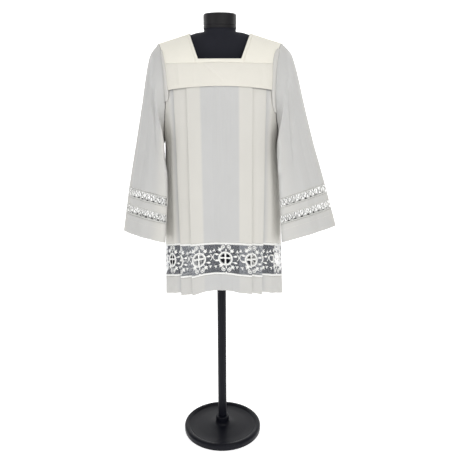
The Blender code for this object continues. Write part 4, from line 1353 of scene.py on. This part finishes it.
def jersey(name, colour):
    """Stretch jersey of the form: fine upright knit ribs with a soft bloom."""
    n = Nodes(name)
    u, v = n.flat_places()
    rib = n.math("ABSOLUTE", n.math("SINE", n.math("MULTIPLY", u, math.pi / 0.0012)))
    course = n.math("SINE", n.math("MULTIPLY", v, 2 * math.pi / 0.0015))
    knit = n.math("ADD", rib, n.math("MULTIPLY", course, 0.4))
    cloud = n.noise(n.object_places(), 14.0, 4, 0.6)
    base = n.mixed(0.8, colour, n.ranged(cloud, 0.75, 1.25), "MULTIPLY")
    # painted shade in the grooves between ribs and painted light on the rib tops
    base = n.mixed(0.4, base, n.ranged(rib, 0.7, 1.1), "MULTIPLY")
    n.wire(base, n.shader.inputs["Base Color"])
    n.set(Roughness=0.88, Sheen_Weight=0.10, Sheen_Roughness=0.35, Specular_IOR_Level=0.25)
    n.bump(knit, 0.4, 0.0002)
    return n.material


def satin(name, colour, roughness, coat, grain, gloss):
    """Satin black paint or moulded plastic with a fine orange-peel surface and light wear."""
    n = Nodes(name)
    places = n.object_places()
    peel = n.noise(places, grain, 3, 0.6)
    smear = n.noise(places, 11.0, 5, 0.6)
    base = n.mixed(0.7, colour, n.ranged(smear, 0.8, 1.3), "MULTIPLY")
    n.wire(base, n.shader.inputs["Base Color"])
    n.wire(n.ranged(smear, roughness - 0.07, roughness + 0.10), n.shader.inputs["Roughness"])
    n.set(Coat_Weight=coat, Coat_Roughness=0.25, Specular_IOR_Level=gloss)
    n.bump(peel, 0.10, 0.0004)
    return n.material


WEAVE_PITCH = 0.0011     # two threads of the plain weave
TWIST = 0.00075          # pitch of the twist in lace thread


def cloth_of(name, single, layered, sheen):
    return woven(name, shade(single), shade(layered), WEAVE_PITCH, sheen)


def make_materials():
    return {
        "cloth": cloth_of("ivory_plain_weave", (193, 193, 192), (207, 205, 199), 0.10),
        "yoke": cloth_of("ivory_double_weave", (233, 230, 220), (234, 231, 220), 0.12),
        # painted shade: a darker copy of the yoke cloth, used on the front and back yoke bands
        "yoke_band": cloth_of("ivory_yoke_weave_painted_shade", (220, 217, 209), (221, 218, 209), 0.10),
        # painted shade: inner faces of the cloth made dark grey, in place of the dark garment left
        # out and its shadow; the real cloth is as pale inside
        "inside": cloth_of("ivory_weave_inside_painted_shade", (126, 127, 130), (130, 129, 126), 0.0),
        # painted shade: inner faces of the sleeves made very dark, in place of the dark garment
        # left out and its shadow inside the sleeve
        "sleeve_inside_painted_shade": cloth_of("sleeve_weave_inside", (72, 73, 77), (72, 73, 77), 0.0),
        "lace": threads("white_lace_thread", shade((246, 246, 243)), TWIST, 0.55, 0.25, 0.00022),
        # painted shade: the white ladder lace thread is darkened, in place of the dark garment left
        # out and its shadow
        "ladder": threads("ladder_lace_thread_painted_shade", shade((216, 216, 212)), TWIST, 0.6, 0.2, 0.00022),
        # painted shade: the lace threads' faces against the cloth are made dark, in place of the
        # dark garment left out and its shadow
        "lace_painted_shade_side": threads("white_lace_painted_shade", shade((58, 59, 62)), TWIST, 0.8, 0.0,
                               0.0001),
        # painted shade: the white net thread is coloured grey, in place of the dark garment behind
        # it and its shadow
        "net": threads("net_thread_painted_shade", shade((166, 169, 175)), 0.0006, 0.65, 0.10, 0.0001),
        "stitch": threads("ivory_sewing_thread", shade((238, 234, 222)), 0.0009, 0.50, 0.20,
                          0.0001),
        "jersey": jersey("black_form_jersey", shade((29, 30, 38))),
        "cap": satin("black_cap_lacquer", shade((25, 24, 26)), 0.38, 0.06, 420.0, 0.22),
        "metal": satin("black_stand_paint", shade((13, 14, 22)), 0.36, 0.04, 300.0, 0.12),
    }


# ---------------------------------------------------------------- stitches
def stitch_tree():
    """Geometry nodes that lay one bead of thread at each pitch along a path."""
    tree = bpy.data.node_groups.new("stitch_run", "GeometryNodeTree")
    face = tree.interface
    face.new_socket("Path", in_out="INPUT", socket_type="NodeSocketGeometry")
    for name in ("Stitch pitch", "Stitch length", "Thread thickness"):
        face.new_socket(name, in_out="INPUT", socket_type="NodeSocketFloat")
    face.new_socket("Thread", in_out="INPUT", socket_type="NodeSocketMaterial")
    face.new_socket("Stitches", in_out="OUTPUT", socket_type="NodeSocketGeometry")
    nodes = tree.nodes
    start = nodes.new("NodeGroupInput")
    end = nodes.new("NodeGroupOutput")
    points = nodes.new("GeometryNodeCurveToPoints")
    points.mode = "LENGTH"
    bead = nodes.new("GeometryNodeMeshUVSphere")
    bead.inputs["Segments"].default_value = 5
    bead.inputs["Rings"].default_value = 3
    bead.inputs["Radius"].default_value = 0.5
    size = nodes.new("ShaderNodeCombineXYZ")
    shaped = nodes.new("GeometryNodeTransform")
    placed = nodes.new("GeometryNodeInstanceOnPoints")
    real = nodes.new("GeometryNodeRealizeInstances")
    smoothed = nodes.new("GeometryNodeSetShadeSmooth")
    coloured = nodes.new("GeometryNodeSetMaterial")
    wires = (
        (start.outputs["Path"], points.inputs["Curve"]),
        (start.outputs["Stitch pitch"], points.inputs["Length"]),
        (start.outputs["Thread thickness"], size.inputs["X"]),
        (start.outputs["Thread thickness"], size.inputs["Y"]),
        (start.outputs["Stitch length"], size.inputs["Z"]),
        (bead.outputs["Mesh"], shaped.inputs["Geometry"]),
        (size.outputs[0], shaped.inputs["Scale"]),
        (points.outputs["Points"], placed.inputs["Points"]),
        (points.outputs["Rotation"], placed.inputs["Rotation"]),
        (shaped.outputs[0], placed.inputs["Instance"]),
        (placed.outputs[0], real.inputs[0]),
        (real.outputs[0], smoothed.inputs[0]),
        (smoothed.outputs[0], coloured.inputs["Geometry"]),
        (start.outputs["Thread"], coloured.inputs["Material"]),
        (coloured.outputs[0], end.inputs[0]),
    )
    for source, target in wires:
        tree.links.new(source, target)
    return tree


def stitched(name, runs, tree, material, pitch=0.0031, length=0.0026, thickness=0.00062):
    """One mesh of stitches along several paths."""
    curve = bpy.data.curves.new(name + "_path", "CURVE")
    curve.dimensions = "3D"
    for run in runs:
        spline = curve.splines.new("POLY")
        spline.points.add(len(run) - 1)
        spline.points.foreach_set("co", np.column_stack([run, np.ones(len(run))]).ravel())
    path = bpy.data.objects.new(name + "_path", curve)
    bpy.context.scene.collection.objects.link(path)
    modifier = path.modifiers.new("stitches", "NODES")
    modifier.node_group = tree
    values = {"Stitch pitch": pitch, "Stitch length": length, "Thread thickness": thickness,
              "Thread": material}
    for socket in tree.interface.items_tree:
        if socket.name in values:
            modifier[socket.identifier] = values[socket.name]
    deps = bpy.context.evaluated_depsgraph_get()
    mesh = bpy.data.meshes.new_from_object(path.evaluated_get(deps))
    mesh.name = name
    bpy.data.objects.remove(path)
    bpy.data.curves.remove(curve)
    mesh.materials.clear()
    return link(name, mesh, material)


STITCH_LIFT = 0.00045    # a stitch stands this far off the cloth, less what it sinks in
STITCH_SINK = 0.0003


def row_run(surface, v, start=0.0, end=1.0, steps=400):
    """Path along a surface at one flat distance down it."""
    part = np.linspace(start, end, steps)
    u = surface.u[0] + (surface.u[-1] - surface.u[0]) * part
    return surface.place(u, v, CLOTH / 2 + STITCH_LIFT - STITCH_SINK)


# ---------------------------------------------------------------- the form
def lathe(name, profile, material, steps=96):
    """Closed solid of revolution from (radius, height) points, top to bottom."""
    angle = np.linspace(0, 2 * math.pi, steps, endpoint=False)
    inner = profile[1:-1]
    points = [(0.0, 0.0, profile[0][1])]
    for radius, height in inner:
        points += [(radius * math.cos(a), radius * math.sin(a), height) for a in angle]
    points.append((0.0, 0.0, profile[-1][1]))
    faces = [(0, 1 + i, 1 + (i + 1) % steps) for i in range(steps)]
    for ring in range(len(inner) - 1):
        a, b = 1 + ring * steps, 1 + (ring + 1) * steps
        faces += [(a + i, b + i, b + (i + 1) % steps, a + (i + 1) % steps) for i in range(steps)]
    last = 1 + (len(inner) - 1) * steps
    faces += [(len(points) - 1, last + (i + 1) % steps, last + i) for i in range(steps)]
    mesh = bpy.data.meshes.new(name)
    mesh.from_pydata(points, [], faces)
    mesh.shade_smooth()
    mesh.set_sharp_from_angle(angle=math.radians(34))
    return link(name, mesh, material)


def arc(centre_r, centre_z, radius, start, end, steps):
    return [(centre_r + radius * math.cos(math.radians(start + (end - start) * i / steps)),
             centre_z + radius * math.sin(math.radians(start + (end - start) * i / steps)))
            for i in range(steps + 1)]


def base_profile():
    rim = 0.0095
    dish_z = 0.0195
    profile = [(0.0, SOCKET_TOP_Z), (0.0220, SOCKET_TOP_Z)]
    profile += arc(0.0235, SOCKET_TOP_Z - 0.004, 0.004, 90, 0, 6)
    profile += [(0.0275, 0.044)] + [(0.036 - 0.0085 * math.cos(a), 0.040 - 0.0125 * math.sin(a))
                                    for a in np.linspace(0.15, 1.5, 8)]
    profile += [(0.048, 0.0248), (0.062, 0.0232), (0.100, 0.0212),
                (BASE_RADIUS - 2.6 * rim, dish_z), (BASE_RADIUS - 2.35 * rim, dish_z + 0.0008),
                (BASE_RADIUS - 2.05 * rim, dish_z + 0.0050), (BASE_RADIUS - 1.75 * rim, 0.0262)]
    profile += arc(BASE_RADIUS - rim, 0.018, rim, 110, 0, 14)
    profile += [(BASE_RADIUS, 0.005), (BASE_RADIUS - 0.0008, 0.0016),
                (BASE_RADIUS - 0.003, 0.0), (0.0, 0.0)]
    return profile


def cap_profile():
    edge = 0.007
    profile = [(0.0, FORM_TOP_Z), (0.030, FORM_TOP_Z - 0.0002)]
    profile += arc(NECK_RADIUS - edge, FORM_TOP_Z - edge, edge, 88, 0, 10)
    groove = 0.0009
    profile += [(NECK_RADIUS, 1.6220), (NECK_RADIUS - groove, 1.6210),
                (NECK_RADIUS - groove, 1.6198), (NECK_RADIUS, 1.6188)]
    profile += [(NECK_RADIUS, CAP_FOOT_Z + 0.0010), (NECK_RADIUS - 0.0010, CAP_FOOT_Z),
                (0.0, CAP_FOOT_Z)]
    return profile


def pole_profile():
    top = TORSO_FOOT_Z - SEAM
    foot = SOCKET_TOP_Z + SEAM
    flange = 0.045
    profile = [(0.0, top), (flange - 0.001, top), (flange, top - 0.001), (flange, top - 0.005),
               (flange - 0.001, top - 0.006), (POLE_RADIUS + 0.008, top - 0.010)]
    profile += [(POLE_RADIUS + 0.006 * (1 - i / 8) ** 2, top - 0.014 - 0.036 * i / 8)
                for i in range(9)]
    collar = 0.020
    profile += [(POLE_RADIUS, foot + collar + 0.001), (POLE_RADIUS, foot), (0.0, foot)]
    return profile


SHOULDER_SINK = 0.003    # the form's shoulders stay this far under the cloth lying on them
JERSEY_INSET = 0.0006
JERSEY_RADIUS = 0.16     # mean radius of the torso, for the jersey's flat places
TORSO_STEPS = 120


def torso_piece(material):
    """Smooth torso through the same rings as the solid, closed at the foot and the neck."""
    rings = [dict(zip(TORSO_COLUMNS, row)) for row in TORSO_RINGS]
    for row in SHOULDER_RINGS:
        sizes = dict(zip(SHOULDER_RING_COLUMNS, row))
        sizes["side_z"] = shoulder_height(sizes["half_width"]) - FORM_CLEARANCE
        rings.append(sizes)
    for level in NECK_RINGS_Z:
        rings.append({"side_z": level, "front_z": level,
                      "half_width": NECK_RADIUS, "half_depth": NECK_RADIUS})
    keys = np.arange(len(rings), dtype=float)
    rows = np.concatenate([[0.0, 0.12, 0.4, 1.0], np.arange(1.25, len(rings) - 0.99, 0.25)])
    values = np.array([[ring[name] for name in TORSO_COLUMNS] for ring in rings])
    straight = np.stack([np.interp(rows, keys, values[:, k]) for k in range(4)], axis=1)
    curved = smooth(rows, keys, values)
    curved = np.where(rows[:, None] < 1.0, straight, curved)
    curved[:, 2:] -= JERSEY_INSET
    under_cloth = ramp(rows, len(TORSO_RINGS) - 3.0, len(TORSO_RINGS) - 1.0)
    under_cloth *= 1 - ramp(rows, len(rings) - 3.0, len(rings) - 2.0)
    curved[:, :3] -= SHOULDER_SINK * under_cloth[:, None]
    steps = TORSO_STEPS
    angle = np.linspace(0, 2 * math.pi, steps + 1)
    points = []
    for side_z, front_z, half_width, half_depth in curved:
        level = front_z + (side_z - front_z) * np.cos(angle) ** 2
        points.append(np.stack([half_width * np.cos(angle), half_depth * np.sin(angle), level],
                               axis=1))
    points = np.array(points)[::-1]
    heights = points[:, steps // 4, 2]
    v = heights[0] - heights
    v = np.maximum.accumulate(v + np.arange(len(v)) * 1e-6)
    mesh_rows = len(points)
    verts = points[:, :-1].reshape(-1, 3)
    faces, uvs = [], []
    for r in range(mesh_rows - 1):
        for c in range(steps):
            d = (c + 1) % steps
            faces.append((r * steps + c, (r + 1) * steps + c, (r + 1) * steps + d, r * steps + d))
            ua, ub = JERSEY_RADIUS * angle[c], JERSEY_RADIUS * angle[c + 1]
            uvs += [(ua, v[r]), (ua, v[r + 1]), (ub, v[r + 1]), (ub, v[r])]
    top, foot = len(verts), len(verts) + 1
    verts = np.concatenate([verts, [[0, 0, points[0, 0, 2]], [0, 0, points[-1, 0, 2]]]])
    last = (mesh_rows - 1) * steps
    for c in range(steps):
        d = (c + 1) % steps
        faces.append((top, c, d))
        faces.append((foot, last + d, last + c))
        uvs += [(JERSEY_RADIUS * angle[c], 0.0)] * 3 + [(JERSEY_RADIUS * angle[c], v[-1])] * 3
    mesh = bpy.data.meshes.new("form_torso_cover")
    mesh.from_pydata(verts.tolist(), [], faces)
    flat_map(mesh, uvs)
    mesh.shade_smooth()
    mesh.set_sharp_from_angle(angle=math.radians(50))
    return link("form_torso_cover", mesh, material)


def build_form(materials):
    rows = (("form_neck_cap", cap_profile(), "cap", "black_cap", 96),
            ("form_pole", pole_profile(), "metal", "black_metal", 64),
            ("form_base", base_profile(), "metal", "black_metal", 160))
    for node, profile, finish, slot, steps in rows:
        piece = lathe(node + "_turned", profile, materials[finish], steps)
        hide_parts(node)
        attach(piece, BODY)
    torso = torso_piece(materials["jersey"])
    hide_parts("form_torso")
    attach(torso, BODY)


# ---------------------------------------------------------------- the garment
def finish_cloth(piece, node, extra=()):
    """Hide the solid of one sewn piece so that the piece stands for it, and let the piece and its
    extras ride on the body.
    """
    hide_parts(node)
    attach(piece, BODY)
    for item in extra:
        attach(item, BODY)


def level_tone(surface, value):
    return np.full(surface.points.shape[:2], value)


def build_yoke(materials, tree):
    for face, word in ((-1, "front"), (1, "back")):
        surface = yoke_surface(face)
        name = "yoke_" + word
        # the yoke bands take the darker copy of the yoke cloth, which is painted shade
        piece = cloth_piece(name + "_cloth", surface, level_tone(surface, 1.0),
                            materials["yoke_band"], materials["inside"], TAPE)
        low = float(surface.v[-1])
        runs = [row_run(surface, low - up) for up in YOKE_SEWING]
        runs.append(row_run(surface, YOKE_TOP_SEWING))
        sewing = stitched(name + "_topstitching", runs, tree, materials["stitch"])
        finish_cloth(piece, name,
                     extra=[sewing])
    for side, word in ((-1, "left"), (1, "right")):
        surface = shoulder_surface(side)
        name = "shoulder_" + word
        piece = cloth_piece(name + "_cloth", surface, level_tone(surface, 1.0),
                            materials["yoke"], materials["inside"], TAPE)
        ends = (float(surface.v[0]) + SHOULDER_SEWING, float(surface.v[-1]) - SHOULDER_SEWING)
        runs = [row_run(surface, v, 0.02, 0.98, 60) for v in ends]
        sewing = stitched(name + "_topstitching", runs, tree, materials["stitch"])
        finish_cloth(piece, name, extra=[sewing])
    surface = facing_surface()
    piece = cloth_piece("neck_facing_cloth", surface, level_tone(surface, 1.0),
                        materials["yoke"], materials["inside"], TAPE)
    runs = [row_run(surface, FACING_SEWING[0]), row_run(surface, FACING_WIDTH - FACING_SEWING[1])]
    sewing = stitched("neck_facing_topstitching", runs, tree, materials["stitch"])
    finish_cloth(piece, "neck_facing",
                 extra=[sewing])


def build_body(materials, tree):
    for face, word in ((-1, "front"), (1, "back")):
        downs = np.linspace(HALF_SEAM, LACE_TOP_DOWN - HALF_SEAM, 72)
        surface, tone, width = pleated_surface(downs, face)
        name = word + "_panel"
        piece = cloth_piece(name + "_cloth", surface, tone, materials["cloth"], materials["inside"])
        runs = [row_run(surface, downs[-1] - PANEL_SEWING, steps=900)]
        sewing = stitched(name + "_topstitching", runs, tree, materials["stitch"])
        finish_cloth(piece, name,
                     extra=[sewing])

        surface, net, motifs, width = hem_lace_pieces(face, materials)
        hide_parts("lace_" + word)
        for item in (net, motifs):
            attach(item, BODY)

        downs = np.linspace(LACE_END_DOWN + HALF_SEAM, HEM_DOWN, 14)
        surface, tone, width = pleated_surface(downs, face)
        name = "hem_" + word
        tone = tone * 0.45
        piece = cloth_piece(name + "_cloth", surface, tone, materials["cloth"],
                            materials["inside"], TAPE)
        runs = [row_run(surface, downs[0] + BAND_SEWING, steps=900),
                row_run(surface, downs[-1] - HEM_SEWING, steps=900)]
        sewing = stitched(name + "_topstitching", runs, tree, materials["stitch"])
        finish_cloth(piece, name,
                     extra=[sewing])


SLEEVE_BASE_TONE = 0.12
INNER_EDGE_TONE = {-1: 0.6, 1: 0.2}      # warmth of the front edge next to the body
OUTER_EDGE_TONE = 0.35


def sleeve_tone(surface, side):
    """Warmer where the sleeve turns in towards the body, cooler down its middle."""
    part = (surface.u - surface.u[0]) / (surface.u[-1] - surface.u[0])
    part = part if side < 0 else 1.0 - part
    tone = SLEEVE_BASE_TONE + INNER_EDGE_TONE[side] * bell(part - 0.44, 0.055)
    tone = tone + OUTER_EDGE_TONE * bell(part - 0.03, 0.05)
    return np.repeat(tone[None], len(surface.v), axis=0)


def build_sleeve(side, word, materials, tree):
    rows = np.concatenate([np.linspace(-1.0, 2.0, 40), np.linspace(2.1, LACE_ROW, 60)])
    rows[-1] = band_row(-HALF_SEAM)
    spread = np.interp(rows, (-1.0, 0.0, LACE_ROW), (0.0, 0.02, 0.54))
    surface, _ = sleeve_surface(side, rows, spread)
    name = "sleeve_%s_upper" % word
    piece = cloth_piece(name + "_cloth", surface, sleeve_tone(surface, side),
                        materials["cloth"], materials["sleeve_inside_painted_shade"])
    sewing = stitched(name + "_topstitching", [row_run(surface, spread[-1] - PANEL_SEWING)],
                      tree, materials["stitch"])
    strip = armhole_fold(side)
    fold = cloth_piece(name + "_armhole_fold", strip, level_tone(strip, 0.6),
                       materials["cloth"], materials["sleeve_inside_painted_shade"])
    finish_cloth(piece, name,
                 extra=[sewing, fold])
    for row in SLEEVE_BANDS:
        band = dict(zip(BAND_COLUMNS, row))
        if band["name"].startswith("lace"):
            for piece in ladder_pieces(side, word, band, materials):
                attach(piece, BODY)
            continue
        distances = np.linspace(band["start"] + HALF_SEAM, band["end"] - HALF_SEAM, 14)
        surface, length = sleeve_surface(side, [band_row(d) for d in distances], distances)
        name = "sleeve_%s_%s" % (word, band["name"])
        piece = cloth_piece(name + "_cloth", surface, sleeve_tone(surface, side) + 0.15,
                            materials["cloth"], materials["sleeve_inside_painted_shade"], TAPE)
        runs = [row_run(surface, distances[0] + BAND_SEWING)]
        if band["name"] == "cuff":
            runs.append(row_run(surface, band["start"] + CUFF_STITCH))
        else:
            runs.append(row_run(surface, distances[-1] - BAND_SEWING))
        sewing = stitched(name + "_topstitching", runs, tree, materials["stitch"])
        finish_cloth(piece, name,
                     extra=[sewing])


# ---------------------------------------------------------------- studio
CAMERA_PLACE = (0.030, -2.10, 1.45)
CAMERA_DOWN = math.radians(15.22)
CAMERA_ROLL = math.radians(-0.17)
CAMERA_LENS = 44.25


def add_camera():
    camera = bpy.data.cameras.new("studio_camera")
    camera.sensor_width = 36.0
    camera.lens = CAMERA_LENS
    item = bpy.data.objects.new("studio_camera", camera)
    item.matrix_world = (Matrix.Translation(CAMERA_PLACE)
                         @ Matrix.Rotation(math.pi / 2 - CAMERA_DOWN, 4, "X")
                         @ Matrix.Rotation(CAMERA_ROLL, 4, "Z"))
    bpy.context.scene.collection.objects.link(item)
    bpy.context.scene.camera = item


def add_light(name, place, target, size, power, colour):
    light = bpy.data.lights.new(name, "AREA")
    light.shape = "RECTANGLE"
    light.size, light.size_y = size
    light.energy = power
    light.color = colour
    item = bpy.data.objects.new(name, light)
    item.location = place
    item.rotation_euler = (Vector(target) - Vector(place)).to_track_quat("-Z", "Y").to_euler()
    bpy.context.scene.collection.objects.link(item)


LIGHT_COLUMNS = ("name", "place", "target", "size", "power", "colour")
LIGHTS = (
    ("key_light", (2.0, -2.9, 3.5), (0.0, 0.0, 1.2), (2.2, 1.8), 36.0, (1.0, 0.988, 0.965)),
    ("fill_light", (-2.8, -2.4, 2.2), (0.0, 0.0, 1.1), (2.4, 2.4), 15.0, (0.97, 0.985, 1.0)),
    ("front_light", (0.2, -3.6, 1.2), (0.0, 0.0, 1.0), (3.0, 2.0), 20.0, (1.0, 0.995, 0.985)),
    ("top_light", (0.0, -0.6, 4.2), (0.0, 0.0, 1.0), (2.6, 2.0), 22.0, (1.0, 1.0, 1.0)),
)
FLOOR_FRONT = -9.0
FLOOR_SIDE = 14.0
FLOOR_DEPTH = 3.2        # distance of the wall that rises behind
WALL_RISE = 6.0
FLOOR_BEND = 1.2
FLOOR_GAP = 0.0002       # the floor lies this far under the base
FLOOR_GLOW = 0.58
WORLD_COLOUR = (0.995, 0.995, 1.0, 1.0)
WORLD_STRENGTH = 0.42


def floor_profile():
    depth, bend = FLOOR_DEPTH, FLOOR_BEND
    profile = [(FLOOR_FRONT, 0.0), (depth - bend, 0.0)]
    profile += [(depth - bend + bend * math.sin(a), bend - bend * math.cos(a))
                for a in np.linspace(0.1, math.pi / 2, 16)]
    profile.append((depth, WALL_RISE))
    return profile


def add_studio():
    """Pale seamless floor that rises behind, and large soft lights."""
    profile = floor_profile()
    points = [(x, y, z - FLOOR_GAP) for y, z in profile for x in (-FLOOR_SIDE, FLOOR_SIDE)]
    faces = [(2 * i, 2 * i + 1, 2 * i + 3, 2 * i + 2) for i in range(len(profile) - 1)]
    mesh = bpy.data.meshes.new("studio_floor")
    mesh.from_pydata(points, [], faces)
    mesh.shade_smooth()
    n = Nodes("studio_white")
    soft = n.noise(n.object_places(), 0.6, 2)
    n.wire(n.mixed(1.0, shade((250, 250, 250)), n.ranged(soft, 0.985, 1.0), "MULTIPLY"),
           n.shader.inputs["Base Color"])
    n.set(Roughness=0.95, Emission_Color=(1, 1, 1, 1), Emission_Strength=FLOOR_GLOW,
          Specular_IOR_Level=0.0)
    floor = link("studio_floor", mesh, n.material)
    for row in LIGHTS:
        add_light(**dict(zip(LIGHT_COLUMNS, row)))
    world = bpy.data.worlds.new("studio_world")
    bpy.context.scene.world = world
    world.use_nodes = True
    background = world.node_tree.nodes["Background"]
    background.inputs["Color"].default_value = WORLD_COLOUR
    background.inputs["Strength"].default_value = WORLD_STRENGTH
    bpy.context.scene.view_settings.view_transform = "Standard"


def main():
    add_camera()
    materials = make_materials()
    tree = stitch_tree()
    build_form(materials)
    build_yoke(materials, tree)
    build_body(materials, tree)
    build_sleeve(-1, "left", materials, tree)
    build_sleeve(1, "right", materials, tree)
    add_studio()


main()
